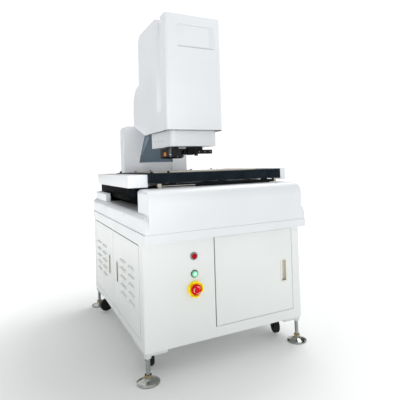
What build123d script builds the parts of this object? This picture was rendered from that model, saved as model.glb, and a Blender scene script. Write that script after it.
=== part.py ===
from build123d import *
import os
from math import cos, pi, radians, sin

# Free-standing vision measuring machine, in millimetres. Z is up, X runs to the operator's right
# and Y runs to the back. The origin is on the floor, at the centre of the footprint.

# Cabinet
cabinet_width = 700.0
cabinet_depth = 980.0
cabinet_height = 398.0
ground_clearance = 110.0
sheet = 2.0
cabinet_corner_radius = 5.0
top_flange = 34.0
rear_opening_margin = 70.0
rear_opening_foot = 40.0
rear_opening_head = 38.0
rear_panel_lap = 18.0
slot_rows = 8
slot_length = 90.0
slot_height = 5.0
slot_pitch = 14.0
slot_first = 60.0
slot_column = 90.0
inlet_x = (150.0, 198.0)
inlet_z = (190.0, 217.0)
inlet_flange = 6.0
inlet_flange_thickness = 2.0
inlet_depth = 24.0
inlet_wall = 2.0
inlet_clearance = 0.3
inlet_pin_pitch = 9.0
control_x = (60.0, 285.0)
control_depth = 210.0
control_from_back = 50.0
control_height = 300.0
control_fins = 6
control_fin_first = 40.0
control_fin_pitch = 12.0
control_fin_margin = 20.0

# Doors
door_depth = 16.0
door_gap = 2.0
hinge_gap = 5.0
jamb_depth = 20.0
pivot_radius = 3.0
pivot_inset = 8.0
pivot_clearance = 0.08
pivot_boss_radius = 6.0
pivot_boss_height = 12.0
pivot_gap = 1.0
pivot_plate = 2.5
pivot_pin_reach = 10.0
running_gap = 0.3
front_door_left = -60.0
front_door_right = 307.0
front_door_foot = 42.0
front_door_head = 10.0
side_door_foot = 33.0
side_door_head = 18.0
side_door_margin = 52.0
side_door_split_gap = 3.0

# Louvres on the side doors
louvre_length = 76.0
louvre_radius = 8.0
louvre_wall = 1.6
louvre_pitch = 35.0
louvre_rows = 5
louvre_first = 100.0
louvre_columns = (192.0, 328.0)

# Flush pulls of the doors
pull_width = 32.0
pull_height = 98.0
pull_from_edge = 27.0
pull_foot = 122.0
side_pull_from_edge = 62.0
side_pull_foot = 125.0
pull_lip = 4.0
pull_depth = 13.0
pull_wall = 1.2

# Operating panel
panel_x = -150.0
lamp_height = 327.0
button_height = 260.0
estop_height = 203.0
panel_hole_radius = 11.2
bezel_radius = 14.5
bezel_height = 4.0
lamp_radius = 10.0
button_travel = 3.5
contact_block = 30.0
contact_depth = 36.0
barrel_radius = 10.9
barrel_length = 12.0
cap_bore_depth = 14.0
cap_clearance = 0.4
lens_proud = 4.0
guard_radius = 30.0
guard_height = 15.0
guard_wall = 4.5
guard_disc = 3.0
guard_window = 16.0
mushroom_radius = 20.5
mushroom_height = 16.0
mushroom_stem = 8.5
mushroom_gap = 1.0
estop_travel = 5.0

# Welded frame inside the cabinet
tube = 36.0
tube_wall = 3.0
beam_inset = 24.0
lower_tube_height = 26.0
pad_x = 200.0
pad_from_front = 118.0
pad_from_back = 115.0
post_gap = 0.3
corner_plate_width = 88.0
corner_plate_length = 190.0
corner_plate_thickness = 10.0

# Levelling feet and casters
foot_radius = 42.0
foot_inset_x = 15.0
foot_inset_y = 18.0
foot_rod_radius = 8.0
foot_rod_top = 134.0
foot_nut_size = 24.0
foot_nut_height = 11.0
foot_hole_radius = 8.4
foot_rim = 5.0
foot_neck = 12.0
cup_height = 20.0
foot_collar = 10.0
caster_x = 298.0
caster_inset_y = 146.0
wheel_radius = 32.0
wheel_width = 24.0
wheel_rise = 8.0
caster_trail = 24.0
caster_headings = (-90.0, -102.0, 180.0, 90.0)
fork_plate = 3.0
axle_radius = 4.0
swivel_radius = 6.0
running_clearance = 0.08
caster_plate = 4.0
caster_plate_size = 62.0
fork_cap = 5.0
fork_cap_radius = 25.0
fork_gap = 0.6
fork_shoulder = 18.0
fork_ear = 9.0
tread_radius = 5.0
tyre_depth = 8.0
dish_depth = 4.0
hub_radius = 9.0

# Band under the upper housing
band_height = 33.0
band_overhang = 46.0
band_side = 4.0
band_wall = 3.0
groove = 1.5

# Upper housing
housing_wall = 3.0
deck_height = 71.0
shoulder_radius = 24.0
front_shoulder_radius = 55.0
fairing_inset = 15.0
housing_setback = 1.0
fairing_depth = 139.0
fairing_height = 157.0
fairing_front_radius = 48.0
fairing_end_radius = 16.0
rear_fairing_depth = 283.0
rear_fairing_height = 109.0
rear_fairing_radius = 8.0
housing_clearance = 5.0

# Granite base and the Y axis on it
granite_half = 308.0
granite_front = 212.0
granite_from_back = 20.0
granite_lip = 23.0
granite_lip_rise = 22.0
granite_core_half = 255.0
granite_core_inset = 20.0
granite_core_depth = 89.0
pad_radius = 35.0
guard_strip = 5.0
guard_strip_height = 34.0
rail_width = 15.0
rail_height = 14.0
carriage_width = 34.0
carriage_length = 60.0
carriage_clearance = 0.4
carriage_lift = 4.0
y_rail_half = 220.0
y_rail_to_column = 22.0
y_carriages = (280.0, 550.0)
y_screw_x = 60.0
screw_radius = 8.0
y_screw_to_column = 82.0
bearing_size = 36.0
bearing_depth = 16.0
screw_rise = 12.0
screw_margin = 14.0
coupling_reach = 14.0
coupling_gap = 12.0
y_nut_y = 400.0
y_travel_front = -25.0
y_travel_margin = 10.0
light_window_margin = 12.0
motor_size = 40.0
motor_length = 56.0
backlight_size = 80.0
backlight_height = 22.0

# Saddle and the X axis on it
saddle_half = 290.0
saddle_front = 125.0
saddle_back = 582.0
saddle_thickness = 16.5
carriage_height = 22.0
x_rail_front = 150.0
x_rail_back = 520.0
x_rail_half = 298.0
x_carriage_half = 100.0
x_carriage_height = 14.0
x_screw_y = 560.0
x_screw_rise = 8.0
x_screw_radius = 5.0
x_motor_size = 36.0
nut_size = 24.0
channel_width = 30.0
channel_depth = 20.0

# Stage plate
plate_half = 303.0
plate_front = 58.0
plate_back = 592.0
plate_bottom = 718.0
plate_thickness = 37.0
plate_corner = 4.0
plate_end_wall = 16.0
window_half = 230.0
window_front = 175.0
window_back = 475.0
glass_rim = 12.0
glass_seat = 10.0
glass_frame_proud = 4.0
glass_thickness = 8.0
glass_field_rise = 1.5
glass_gap = 0.5
glass_frame_lap = 4.0
knob_radius = 5.0
knob_height = 8.0
rim_knob_x = (-285.0, -210.0, -135.0, 90.0, 210.0)
rim_knob_y = 575.0
front_knob_x = (-270.0, -200.0)
front_knob_y = 120.0
left_cover_width = 74.0
left_cover_height = 48.0
left_cover_overhang = 80.0
right_cover_width = 28.0
right_cover_height = 49.0
right_cover_proud = 3.0
cover_step = 3.0
cover_setback = 8.0
cover_wall = 3.0
scale_left = -262.0
scale_right = 283.0
scale_depth = 14.0
scale_height = 12.0
scale_drop = 6.0
scale_end = 12.0
scale_setback = 6.0
scale_hanger = 60.0

# Column
column_half = 190.0
column_set_in = 78.0
column_depth = 88.0
column_top = 1017.0
column_corner = 26.0
column_recess = (-60.0, 97.0)
column_recess_depth = 8.0
column_recess_top = 798.0
core_half = 110.0
neck_half = 95.0
neck_clearance = 3.0
core_set_in = 16.0
belly_reach = 97.0
belly_low = 812.0
belly_foot_half = 100.0
belly_head_half = 68.0
neck_bottom = 951.0
neck_set_in = 7.0
bracket_width = 25.0
low_bracket_rise = 87.0
high_bracket_drop = 90.0

# Head
head_half = 137.0
head_front = 285.0
head_seam = 420.0
head_back_shift = 7.5
head_bottom = 946.0
head_top = 1490.0
head_wall = 3.0
head_front_corner = 14.0
head_roof_corner = 50.0
head_hump_gap = 25.0
head_hump_shift = 27.0
head_hump_bottom = 1014.0
head_hump_flat = 15.0
head_belly_setback = 46.0
front_cover_proud = 1.5
window_recess_depth = 8.0
window_recess = (-80.0, 107.0)
window_recess_drop = 60.0
window_recess_height = 102.0
window_recess_bevel = 25.0

# Vertical axis
lens_x = -70.0
lens_y = 430.0
box_half = 115.0
box_front = 305.0
box_back = 597.0
box_bottom = 872.0
box_height = 128.0
box_wall = 3.0
box_corner = 22.0
box_panel = (-75.0, 80.0)
box_panel_foot = 9.0
box_panel_height = 58.0
box_panel_depth = 1.2
lens_gap = 4.0
neck_face = 570.0
neck_top_drop = 102.0
z_rail_half = 60.0
z_rail_rise = 2.0
z_carriages = (1028.0, 1092.0)
z_plate_half = 85.0
z_plate_thickness = 13.0
z_plate_top = 1125.0
z_plate_bottom = 880.0
z_screw_radius = 6.0
z_screw_setback = 16.5
z_bearing_depth = 28.0
z_motor_size = 52.0
z_motor_plate = 10.0
z_motor_plate_half = 35.0
z_motor_plate_depth = 70.0
z_nut = 1060.0
z_plate_front = 528.0
lens_radius = 24.0
lens_top = 1080.0
camera_size = 44.0
camera_height = 70.0
ring_radius = 58.0
ring_height = 46.0
ring_gap = 8.0
ring_bevel = 7.0
ring_ribs = 3
nose_depth = 20.0
sensor_y = 400.0
sensor_left = -2.0
sensor_width = 36.0
sensor_height = 39.0
sensor_ribs = 4
sensor_right = 130.0

# Derived places
half_width = cabinet_width / 2
overall_depth = band_overhang + cabinet_depth + foot_radius - foot_inset_y
front = -overall_depth / 2 + band_overhang
back = front + cabinet_depth
floor_z = ground_clearance
cabinet_top = ground_clearance + cabinet_height
band_top = cabinet_top + band_height
deck_z = band_top + deck_height
fairing_top = band_top + fairing_height
granite_bottom = deck_z + granite_lip_rise
granite_top = granite_bottom + granite_lip
saddle_bottom = granite_top + carriage_lift + carriage_height
saddle_top = saddle_bottom + saddle_thickness
plate_top = plate_bottom + plate_thickness
side_door_z = (floor_z + side_door_foot, cabinet_top - side_door_head)
side_door_width = cabinet_depth / 2 - side_door_margin - side_door_split_gap / 2
side_doorway_x = (-hinge_gap, 2 * side_door_width + side_door_split_gap + hinge_gap)
side_doorway_z = (side_door_z[0] - door_gap, side_door_z[1] + hinge_gap)
front_door_z = (floor_z + front_door_foot, cabinet_top - front_door_head)
front_door_width = front_door_right - front_door_left
front_doorway_x = (-hinge_gap, front_door_width + door_gap)
front_doorway_z = (front_door_z[0] - door_gap, front_door_z[1] + hinge_gap)
front_pull_place = (front_door_width - pull_from_edge, front_door_z[0] + pull_foot)
side_pull_place = (side_door_width - side_pull_from_edge, side_door_z[0] + side_pull_foot)
foot_x = half_width - foot_inset_x
foot_rows = (foot_inset_y, cabinet_depth - foot_inset_y)
foot_places = [(x, y) for y in foot_rows for x in (-foot_x, foot_x)]
caster_rows = (caster_inset_y, cabinet_depth - caster_inset_y)
caster_places = [(x, y) for y in caster_rows for x in (-caster_x, caster_x)]
control_y = (cabinet_depth - control_from_back - control_depth, cabinet_depth - control_from_back)
granite_back = cabinet_depth - granite_from_back
pad_places_y = (granite_front + pad_from_front, granite_back - pad_from_back)
column_front = granite_back - column_set_in
y_rail_end = column_front - y_rail_to_column
y_screw_back = column_front - y_screw_to_column
y_motor_front = y_screw_back + coupling_gap
left_cover_back = plate_back + left_cover_overhang
y_travel_back = column_front - left_cover_back - y_travel_margin
core_front = column_front + core_set_in
belly_front = column_front - belly_reach
head_back = (box_back + column_front) / 2 - head_back_shift
head_hump_back = column_front - head_hump_gap
head_hump_top = (head_top + head_hump_bottom) / 2 - head_hump_shift
head_hump_size = min(head_hump_back - head_back, head_hump_top - head_hump_bottom)
head_hump_radius = head_hump_size - head_hump_flat
head_belly_front = box_back + head_belly_setback
neck_top = head_top - neck_top_drop
z_rail_bottom = neck_bottom + z_rail_rise
z_rail_top = neck_top - bearing_depth
bracket_heights = (head_hump_bottom + low_bracket_rise, neck_top - high_bracket_drop)
window_recess_top = head_top - window_recess_drop
window_recess_bottom = window_recess_top - window_recess_height
y_screw_z = granite_top + screw_rise
x_screw_z = plate_bottom + x_screw_rise
z_screw_y = neck_face - z_screw_setback
core_back = column_front + column_depth - head_wall - 1.0


def cuboid(x, y, z):
    """A box between two values on each axis."""
    size = Box(x[1] - x[0], y[1] - y[0], z[1] - z[0])
    return Pos((x[0] + x[1]) / 2, (y[0] + y[1]) / 2, (z[0] + z[1]) / 2) * size


def post(x, y, z, radius):
    """An upright round bar between two heights."""
    return Pos(x, y, (z[0] + z[1]) / 2) * Cylinder(radius, z[1] - z[0])


def block(x, y, z):
    """A box whose Y is measured backwards from the cabinet's front face."""
    return Pos(0, front, 0) * cuboid(x, y, z)


def rod_z(x, y, z, radius):
    return post(x, front + y, z, radius)


def rod_y(x, z, y, radius):
    return Pos(x, front + (y[0] + y[1]) / 2, z) * Rot(90, 0, 0) * Cylinder(radius, y[1] - y[0])


def rod_x(y, z, x, radius):
    return Pos((x[0] + x[1]) / 2, front + y, z) * Rot(0, 90, 0) * Cylinder(radius, x[1] - x[0])


def turned(points):
    """A body of revolution about the upright axis, from radius and height pairs."""
    outline = make_face(Polyline(*[(r, 0, z) for r, z in points], close=True))
    return revolve(outline, axis=Axis.Z)


def side_profile(points, x):
    """A profile in Y and Z, Y from the cabinet's front face, carried along X."""
    outline = make_face(Polyline(*[(x[0], front + y, z) for y, z in points], close=True))
    return extrude(outline, amount=x[1] - x[0], dir=(1, 0, 0))


def rounded(shape, axis, radius):
    """Rounds all edges that run along one axis."""
    return fillet(shape.edges().filter_by(axis), radius)


def mirrored(shape):
    return mirror(shape, about=Plane.YZ)


def pair(shape):
    """The shape with its mirror image across the middle of the machine."""
    return shape + mirrored(shape)


def union(shapes):
    """All the shapes as one, whether they touch or not."""
    total = shapes[0]
    for shape in shapes[1:]:
        total = total + shape
    return total


def save(name, shape):
    export_step(shape, f"parts/{name}.step")


# Doors are drawn on their own: X from the hinge edge, Y inwards from the outer face.
def in_front(shape):
    return Pos(front_door_left, front, 0) * shape


def at_side(shape):
    """A piece of the left wall's rear door, with Y measured from the middle of the cabinet."""
    return Pos(-half_width, cabinet_depth / 2 - side_door_margin, 0) * Rot(0, 0, -90) * shape


def in_side_rear(shape):
    return Pos(0, front + cabinet_depth / 2, 0) * at_side(shape)


def in_side_front(shape):
    return Pos(0, front + cabinet_depth / 2, 0) * mirror(at_side(shape), about=Plane.XZ)


def door_pan(width, z):
    """A sheet door with its edges folded in and a bored boss at each end of the pivot axis."""
    outer = cuboid((0, width), (0, door_depth), z)
    hollow = cuboid((sheet, width - sheet), (sheet, door_depth + sheet), (z[0] + sheet, z[1] - sheet))
    pan = outer - hollow
    for ends in ((z[0], z[0] + pivot_boss_height), (z[1] - pivot_boss_height, z[1])):
        pan = pan + post(pivot_inset, door_depth / 2, ends, pivot_boss_radius)
    bore_ends = (z[0] - sheet, z[0] + pivot_boss_height + sheet)
    pan = pan - post(pivot_inset, door_depth / 2, bore_ends, pivot_radius + pivot_clearance)
    bore_ends = (z[1] - pivot_boss_height - sheet, z[1] + sheet)
    return pan - post(pivot_inset, door_depth / 2, bore_ends, pivot_radius + pivot_clearance)


def pivots(z):
    """The fixed half of a door's hinges: a bracket with a pin above, a washer with a pin below."""
    plate_z = (z[1] + pivot_gap, z[1] + pivot_gap + pivot_plate)
    plate = cuboid((-hinge_gap, pivot_inset + pivot_boss_radius), (sheet, door_depth), plate_z)
    top = plate + post(pivot_inset, door_depth / 2, (z[1] - pivot_pin_reach, plate_z[1]), pivot_radius)
    washer = post(pivot_inset, door_depth / 2, (z[0] - door_gap, z[0] - running_gap), pivot_boss_radius)
    pin = post(pivot_inset, door_depth / 2, (z[0] - door_gap, z[0] + pivot_pin_reach), pivot_radius)
    return [top, washer + pin]


def doorway(x, z, depth):
    """The clear opening that a door or a pair of doors closes."""
    return cuboid(x, (-sheet, depth), z)


def jamb(x, z):
    """The folded edge round a doorway."""
    around = cuboid((x[0] - sheet, x[1] + sheet), (0, jamb_depth), (z[0] - sheet, z[1] + sheet))
    return around - doorway(x, z, jamb_depth + sheet)


def louvre_place(column, row):
    return (side_door_width - louvre_columns[column], side_door_z[0] + louvre_first + row * louvre_pitch)


def louvre(x, z):
    """A pressed hood, a quarter of a tube with closed ends, open downwards."""
    half = louvre_length / 2
    whole = Pos(x, 0, z) * Rot(0, 90, 0) * Cylinder(louvre_radius, louvre_length)
    inner_length = louvre_length - 2 * louvre_wall
    inner = Pos(x, 0, z) * Rot(0, 90, 0) * Cylinder(louvre_radius - louvre_wall, inner_length)
    quarter = cuboid((x - half, x + half), (-louvre_radius, 0), (z, z + louvre_radius))
    return (whole - inner) & quarter


def louvre_slot(x, z):
    half = louvre_length / 2 - louvre_wall
    return cuboid((x - half, x + half), (-sheet, 2 * sheet), (z, z + louvre_radius - louvre_wall))


def side_door():
    pan = door_pan(side_door_width, side_door_z)
    for column in range(len(louvre_columns)):
        for row in range(louvre_rows):
            pan = pan - louvre_slot(*louvre_place(column, row))
            pan = pan + louvre(*louvre_place(column, row))
    return pan - pull_cut(*side_pull_place)


def pull_cut(x, z):
    """The hole in a door's sheet for a flush pull whose near side is at X."""
    cut_x = (x - pull_width + pull_lip, x - pull_lip)
    return cuboid(cut_x, (-sheet, 2 * sheet), (z + pull_lip, z + pull_height - pull_lip))


def pull_cup(x, z):
    """A flush pull: a lipped cup let into the sheet."""
    lip = cuboid((x - pull_width, x), (-pull_wall, 0), (z, z + pull_height))
    lip = rounded(lip, Axis.Y, pull_lip)
    cup_x = (x - pull_width + pull_lip, x - pull_lip)
    cup_z = (z + pull_lip, z + pull_height - pull_lip)
    cup = cuboid(cup_x, (-pull_wall, pull_depth), cup_z)
    hollow_x = (cup_x[0] + pull_wall, cup_x[1] - pull_wall)
    hollow_z = (cup_z[0] + pull_wall, cup_z[1] - pull_wall)
    hollow = cuboid(hollow_x, (-2 * pull_wall, pull_depth - pull_wall), hollow_z)
    return lip + cup - hollow


def front_door():
    return door_pan(front_door_width, front_door_z) - pull_cut(*front_pull_place)


def cabinet_body():
    """The sheet body, open at the top inside its flange, with its doorways and panel holes."""
    outer = block((-half_width, half_width), (0, cabinet_depth), (floor_z, cabinet_top))
    outer = rounded(outer, Axis.Z, cabinet_corner_radius)
    inside = half_width - sheet
    inside_z = (floor_z + sheet, cabinet_top - sheet)
    body = outer - block((-inside, inside), (sheet, cabinet_depth - sheet), inside_z)
    edge = half_width - top_flange
    top_z = (cabinet_top - 2 * sheet, cabinet_top + sheet)
    body = body - block((-edge, edge), (top_flange, cabinet_depth - top_flange), top_z)
    body = body + in_front(jamb(front_doorway_x, front_doorway_z))
    body = body - in_front(doorway(front_doorway_x, front_doorway_z, jamb_depth))
    body = body + in_side_rear(jamb(side_doorway_x, side_doorway_z))
    body = body - in_side_rear(doorway(side_doorway_x, side_doorway_z, jamb_depth))
    for height in (lamp_height, button_height, estop_height):
        body = body - rod_y(panel_x, floor_z + height, (-sheet, 2 * sheet), panel_hole_radius)
    rear_x = (-half_width + rear_opening_margin, half_width - rear_opening_margin)
    rear_z = (floor_z + rear_opening_foot, cabinet_top - rear_opening_head)
    body = body - block(rear_x, (cabinet_depth - 2 * sheet, cabinet_depth + sheet), rear_z)
    low = (floor_z - sheet, floor_z + sheet)
    for x, y in caster_places:
        body = body - rod_z(x, y, low, foot_hole_radius)
    post_x = (inside - tube - post_gap, inside)
    for post_y in ((sheet, sheet + tube + post_gap),
                   (cabinet_depth - sheet - tube - post_gap, cabinet_depth - sheet)):
        body = body - pair(block(post_x, post_y, low))
    return body


def rear_panel():
    """The removable rear sheet with rows of air slots and the cut-out of the mains inlet."""
    x = half_width - rear_opening_margin + rear_panel_lap
    z0 = floor_z + rear_opening_foot - rear_panel_lap
    z1 = cabinet_top - rear_opening_head + rear_panel_lap
    panel = block((-x, x), (cabinet_depth, cabinet_depth + sheet), (z0, z1))
    for column in (-1, 1):
        for row in range(slot_rows):
            x_mid = column * slot_column
            z = z1 - slot_first - row * slot_pitch
            slot_x = (x_mid - slot_length / 2, x_mid + slot_length / 2)
            slot = block(slot_x, (cabinet_depth - sheet, cabinet_depth + 2 * sheet), (z, z + slot_height))
            panel = panel - slot
    return panel - block(inlet_x, (cabinet_depth - sheet, cabinet_depth + 2 * sheet), inlet_z)


def power_inlet():
    """The mains inlet: a flanged box let into the rear panel, with three flat pins."""
    lap = inlet_flange
    flange_x = (inlet_x[0] - lap, inlet_x[1] + lap)
    flange_z = (inlet_z[0] - lap, inlet_z[1] + lap)
    outside = cabinet_depth + sheet
    flange = block(flange_x, (outside, outside + inlet_flange_thickness), flange_z)
    gap = inlet_clearance
    body_x = (inlet_x[0] + gap, inlet_x[1] - gap)
    body_z = (inlet_z[0] + gap, inlet_z[1] - gap)
    body = flange + block(body_x, (outside - inlet_depth, outside), body_z)
    wall = inlet_wall
    hollow_x = (body_x[0] + wall, body_x[1] - wall)
    hollow_z = (body_z[0] + wall, body_z[1] - wall)
    body = body - block(hollow_x, (outside - inlet_depth + wall, outside + inlet_depth), hollow_z)
    middle_x = (body_x[0] + body_x[1]) / 2
    middle_z = (body_z[0] + body_z[1]) / 2
    for offset in (-1, 0, 1):
        x = middle_x + offset * inlet_pin_pitch
        pin_y = (outside - inlet_depth, outside - wall)
        body = body + block((x - wall / 2, x + wall / 2), pin_y, (middle_z - wall, middle_z + wall))
    return body


def hollow_tube(x, y, z):
    """The outer box of a tube and its bore, closed at the ends by one wall."""
    inner = [(a[0] + tube_wall, a[1] - tube_wall) for a in (x, y, z)]
    return block(x, y, z), block(*inner)


def machine_frame():
    """The frame of square tube, welded to its corner plates and the nuts of the feet."""
    edge = half_width - sheet
    upper_edge = edge - beam_inset
    side = (edge - tube, edge)
    front_y = (sheet, sheet + tube)
    back_y = (cabinet_depth - sheet - tube, cabinet_depth - sheet)
    low = floor_z + sheet
    high = cabinet_top - sheet
    bars = []
    for y in (front_y, back_y):
        bars.append((side, y, (floor_z, high)))
        bars.append((tuple(-v for v in reversed(side)), y, (floor_z, high)))
        bars.append(((-edge, edge), y, (low, low + lower_tube_height)))
    cross_y = [front_y[0] + beam_inset, back_y[0] - beam_inset] + [y - tube / 2 for y in pad_places_y]
    for y in cross_y:
        bars.append(((-upper_edge, upper_edge), (y, y + tube), (high - tube, high)))
    for sign in (-1, 1):
        inner = sorted((sign * (edge - tube), sign * edge))
        bars.append((tuple(inner), (sheet, cabinet_depth - sheet), (low, low + lower_tube_height)))
        upper = sorted((sign * (upper_edge - tube), sign * upper_edge))
        bars.append((tuple(upper), (cross_y[0], cross_y[1] + tube), (high - tube, high)))
    tubes = [hollow_tube(*bar) for bar in bars]
    frame = union([outer for outer, bore in tubes]) - union([bore for outer, bore in tubes])
    for x, y in foot_places:
        frame = frame - rod_z(x, y, (floor_z - sheet, low + 2 * tube_wall), foot_hole_radius)
        nut = Pos(x, front + y, floor_z - corner_plate_thickness - foot_nut_height) * lock_nut()
        frame = frame + corner_plate(x, y) + nut
    return frame


def corner_plate(x, y):
    """The thick plate under one corner, with the caster's own plate below it."""
    sign_x = 1 if x > 0 else -1
    at_front = y < cabinet_depth / 2
    outer = half_width - sheet
    plate_x = tuple(sorted((sign_x * outer, sign_x * (outer - corner_plate_width))))
    low_y = sheet if at_front else cabinet_depth - sheet - corner_plate_length
    plate_z = (floor_z - corner_plate_thickness, floor_z)
    plate = block(plate_x, (low_y, low_y + corner_plate_length), plate_z)
    plate = rounded(plate, Axis.Z, corner_plate_thickness)
    caster_y = caster_inset_y if at_front else cabinet_depth - caster_inset_y
    swivel_x = sign_x * caster_x
    lower = (plate_z[0] - caster_plate, plate_z[0])
    half = caster_plate_size / 2
    plate = plate + block((swivel_x - half, swivel_x + half), (caster_y - half, caster_y + half), lower)
    plate = plate - rod_z(x, y, (plate_z[0] - sheet, floor_z + sheet), foot_hole_radius)
    swivel_z = (lower[0] - sheet, floor_z + sheet)
    return plate - rod_z(swivel_x, caster_y, swivel_z, swivel_radius + running_clearance)


def hexagon(size, height):
    """A hexagonal bar, size across flats."""
    return extrude(RegularPolygon(radius=size / 2, side_count=6, major_radius=False), amount=height)


def lock_nut():
    bore = Pos(0, 0, foot_nut_height / 2) * Cylinder(foot_hole_radius, 2 * foot_nut_height)
    return hexagon(foot_nut_size, foot_nut_height) - bore


def foot(x, y):
    """A levelling foot: bell-shaped cup, hexagon and rod, in one piece as it moves."""
    cup = turned([(0, 0), (foot_radius, 0), (foot_radius, foot_rim), (foot_radius - foot_rim, foot_rim + 3),
                  (foot_neck + 8, cup_height - 5), (foot_neck, cup_height), (0, cup_height)])
    nut = Pos(0, 0, cup_height) * hexagon(foot_nut_size, foot_collar)
    rod = post(0, 0, (cup_height, foot_rod_top), foot_rod_radius)
    return Pos(x, front + y, 0) * (cup + nut + rod)


def on_swivel(x, y, heading, shape):
    """A caster piece drawn with its trail to the back, turned to its heading on its swivel."""
    return Pos(x, front + y, 0) * Rot(0, 0, heading - 90) * shape


def caster_fork(x, y, heading):
    """The swivelling fork with its stem and the wheel's axle."""
    top = floor_z - corner_plate_thickness - caster_plate - running_gap
    cap = post(0, 0, (top - fork_cap, top), fork_cap_radius)
    stem = post(0, 0, (top - fork_cap, floor_z), swivel_radius)
    inner = wheel_width / 2 + fork_gap
    axle_z = wheel_rise + wheel_radius
    leg_points = [(0, -fork_shoulder, top - fork_cap), (0, fork_shoulder, top - fork_cap),
                  (0, caster_trail + fork_ear, axle_z + 4), (0, caster_trail + 4, axle_z - fork_ear),
                  (0, caster_trail - 4, axle_z - fork_ear), (0, caster_trail - fork_ear, axle_z)]
    outline = make_face(Polyline(*leg_points, close=True))
    leg = Pos(inner, 0, 0) * extrude(outline, amount=fork_plate, dir=(1, 0, 0))
    fork = cap + stem + leg + mirrored(leg)
    reach = inner + fork_plate + 2
    axle = Pos(0, caster_trail, axle_z) * Rot(0, 90, 0) * Cylinder(axle_radius, 2 * reach)
    return on_swivel(x, y, heading, fork + axle)


def caster_wheel(x, y, heading):
    """A wheel with a rounded tread and a hub that is thinner than the tyre."""
    half = wheel_width / 2
    tread = Cylinder(wheel_radius, wheel_width)
    tread = fillet(tread.edges(), tread_radius)
    dish = Pos(0, 0, half) * Cylinder(wheel_radius - tyre_depth, 2 * dish_depth)
    wheel = tread - dish - Pos(0, 0, -wheel_width) * dish
    hub = Cylinder(hub_radius, wheel_width)
    wheel = wheel + hub - Cylinder(axle_radius + running_clearance, 2 * wheel_width)
    wheel = Pos(0, caster_trail, wheel_rise + wheel_radius) * Rot(0, 90, 0) * wheel
    return on_swivel(x, y, heading, wheel)


def switch_bodies():
    """Bezels outside the panel, with their barrels and contact blocks behind it."""
    solids = []
    contact_y = (barrel_length, barrel_length + contact_depth)
    for height in (lamp_height, button_height):
        z = floor_z + height
        bezel = rod_y(panel_x, z, (-bezel_height, 0), bezel_radius)
        bezel = chamfer(bezel.edges().group_by(Axis.Y)[0], bezel_height / 3)
        barrel = rod_y(panel_x, z, (0, barrel_length), barrel_radius)
        half = contact_block / 2
        contacts = block((panel_x - half, panel_x + half), contact_y, (z - half, z + half))
        bore = rod_y(panel_x, z, (-2 * bezel_height, cap_bore_depth), lamp_radius + cap_clearance)
        solids.append(bezel + barrel + contacts - bore)
    z = floor_z + estop_height
    half = contact_block / 2
    collar = rod_y(panel_x, z, (0, barrel_length), barrel_radius)
    contacts = block((panel_x - half, panel_x + half), contact_y, (z - half, z + half))
    bore = rod_y(panel_x, z, (-sheet, cap_bore_depth), mushroom_stem + cap_clearance)
    solids.append(collar + contacts - bore)
    return Compound(solids)


def lamp_lens():
    z = floor_z + lamp_height
    lens = rod_y(panel_x, z, (-bezel_height - lens_proud, cap_bore_depth), lamp_radius)
    return fillet(lens.edges().group_by(Axis.Y)[0], lens_proud)


def start_button():
    z = floor_z + button_height
    cap = rod_y(panel_x, z, (-bezel_height - lens_proud, cap_bore_depth - button_travel - 1), lamp_radius)
    return fillet(cap.edges().group_by(Axis.Y)[0], 1.5)


def estop_guard():
    """A yellow disc with four upright ears round the mushroom."""
    z = floor_z + estop_height
    disc = rod_y(panel_x, z, (-guard_disc, 0), guard_radius)
    ring = rod_y(panel_x, z, (-guard_height, 0), guard_radius)
    ring = ring - rod_y(panel_x, z, (-guard_height - 1, 1), guard_radius - guard_wall)
    gap = guard_window / 2
    span = 2 * guard_radius
    window_y = (-guard_height - 1, -guard_disc)
    window = block((-gap, gap), window_y, (-span, span)) + block((-span, span), window_y, (-gap, gap))
    window = Pos(panel_x, 0, z) * Rot(0, 45, 0) * window
    bore = rod_y(panel_x, z, (-2 * guard_height, guard_disc), mushroom_stem + cap_clearance)
    return disc + (ring - window) - bore


def estop_button():
    """The red mushroom and its stem."""
    z = floor_z + estop_height
    base = -guard_disc - estop_travel - mushroom_gap
    r = mushroom_radius
    dome = turned([(0, 0), (r - 3, 0), (r, 3), (r, 9), (r - 3, 13), (r - 8, 15), (0, mushroom_height)])
    head = Pos(panel_x, front + base, z) * Rot(90, 0, 0) * dome
    stem = rod_y(panel_x, z, (base, cap_bore_depth - estop_travel - 1), mushroom_stem)
    return head + stem


def control_box():
    box = block(control_x, control_y, (floor_z + sheet, floor_z + sheet + control_height))
    box = rounded(box, Axis.Z, 4)
    for row in range(control_fins):
        z = floor_z + sheet + control_fin_first + row * control_fin_pitch
        fin_x = (control_x[0] + control_fin_margin, control_x[1] - control_fin_margin)
        box = box - block(fin_x, (control_y[0] - 1, control_y[0] + 3), (z, z + 6))
    return box


def crowned(x_half, y, z, front_radius, back_radius, end_radius):
    """A box with rounded top edges: one radius in front, one behind and one at both ends."""
    along = block((-x_half, x_half), y, z)
    tops = along.edges().filter_by(Axis.X).group_by(Axis.Z)[-1].sort_by(Axis.Y)
    along = fillet(tops[0], front_radius)
    tops = along.edges().filter_by(Axis.X).group_by(Axis.Z)[-1].sort_by(Axis.Y)
    along = fillet(tops[-1], back_radius)
    across = block((-x_half, x_half), y, z)
    across = fillet(across.edges().filter_by(Axis.Y).group_by(Axis.Z)[-1], end_radius)
    return along & across


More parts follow.
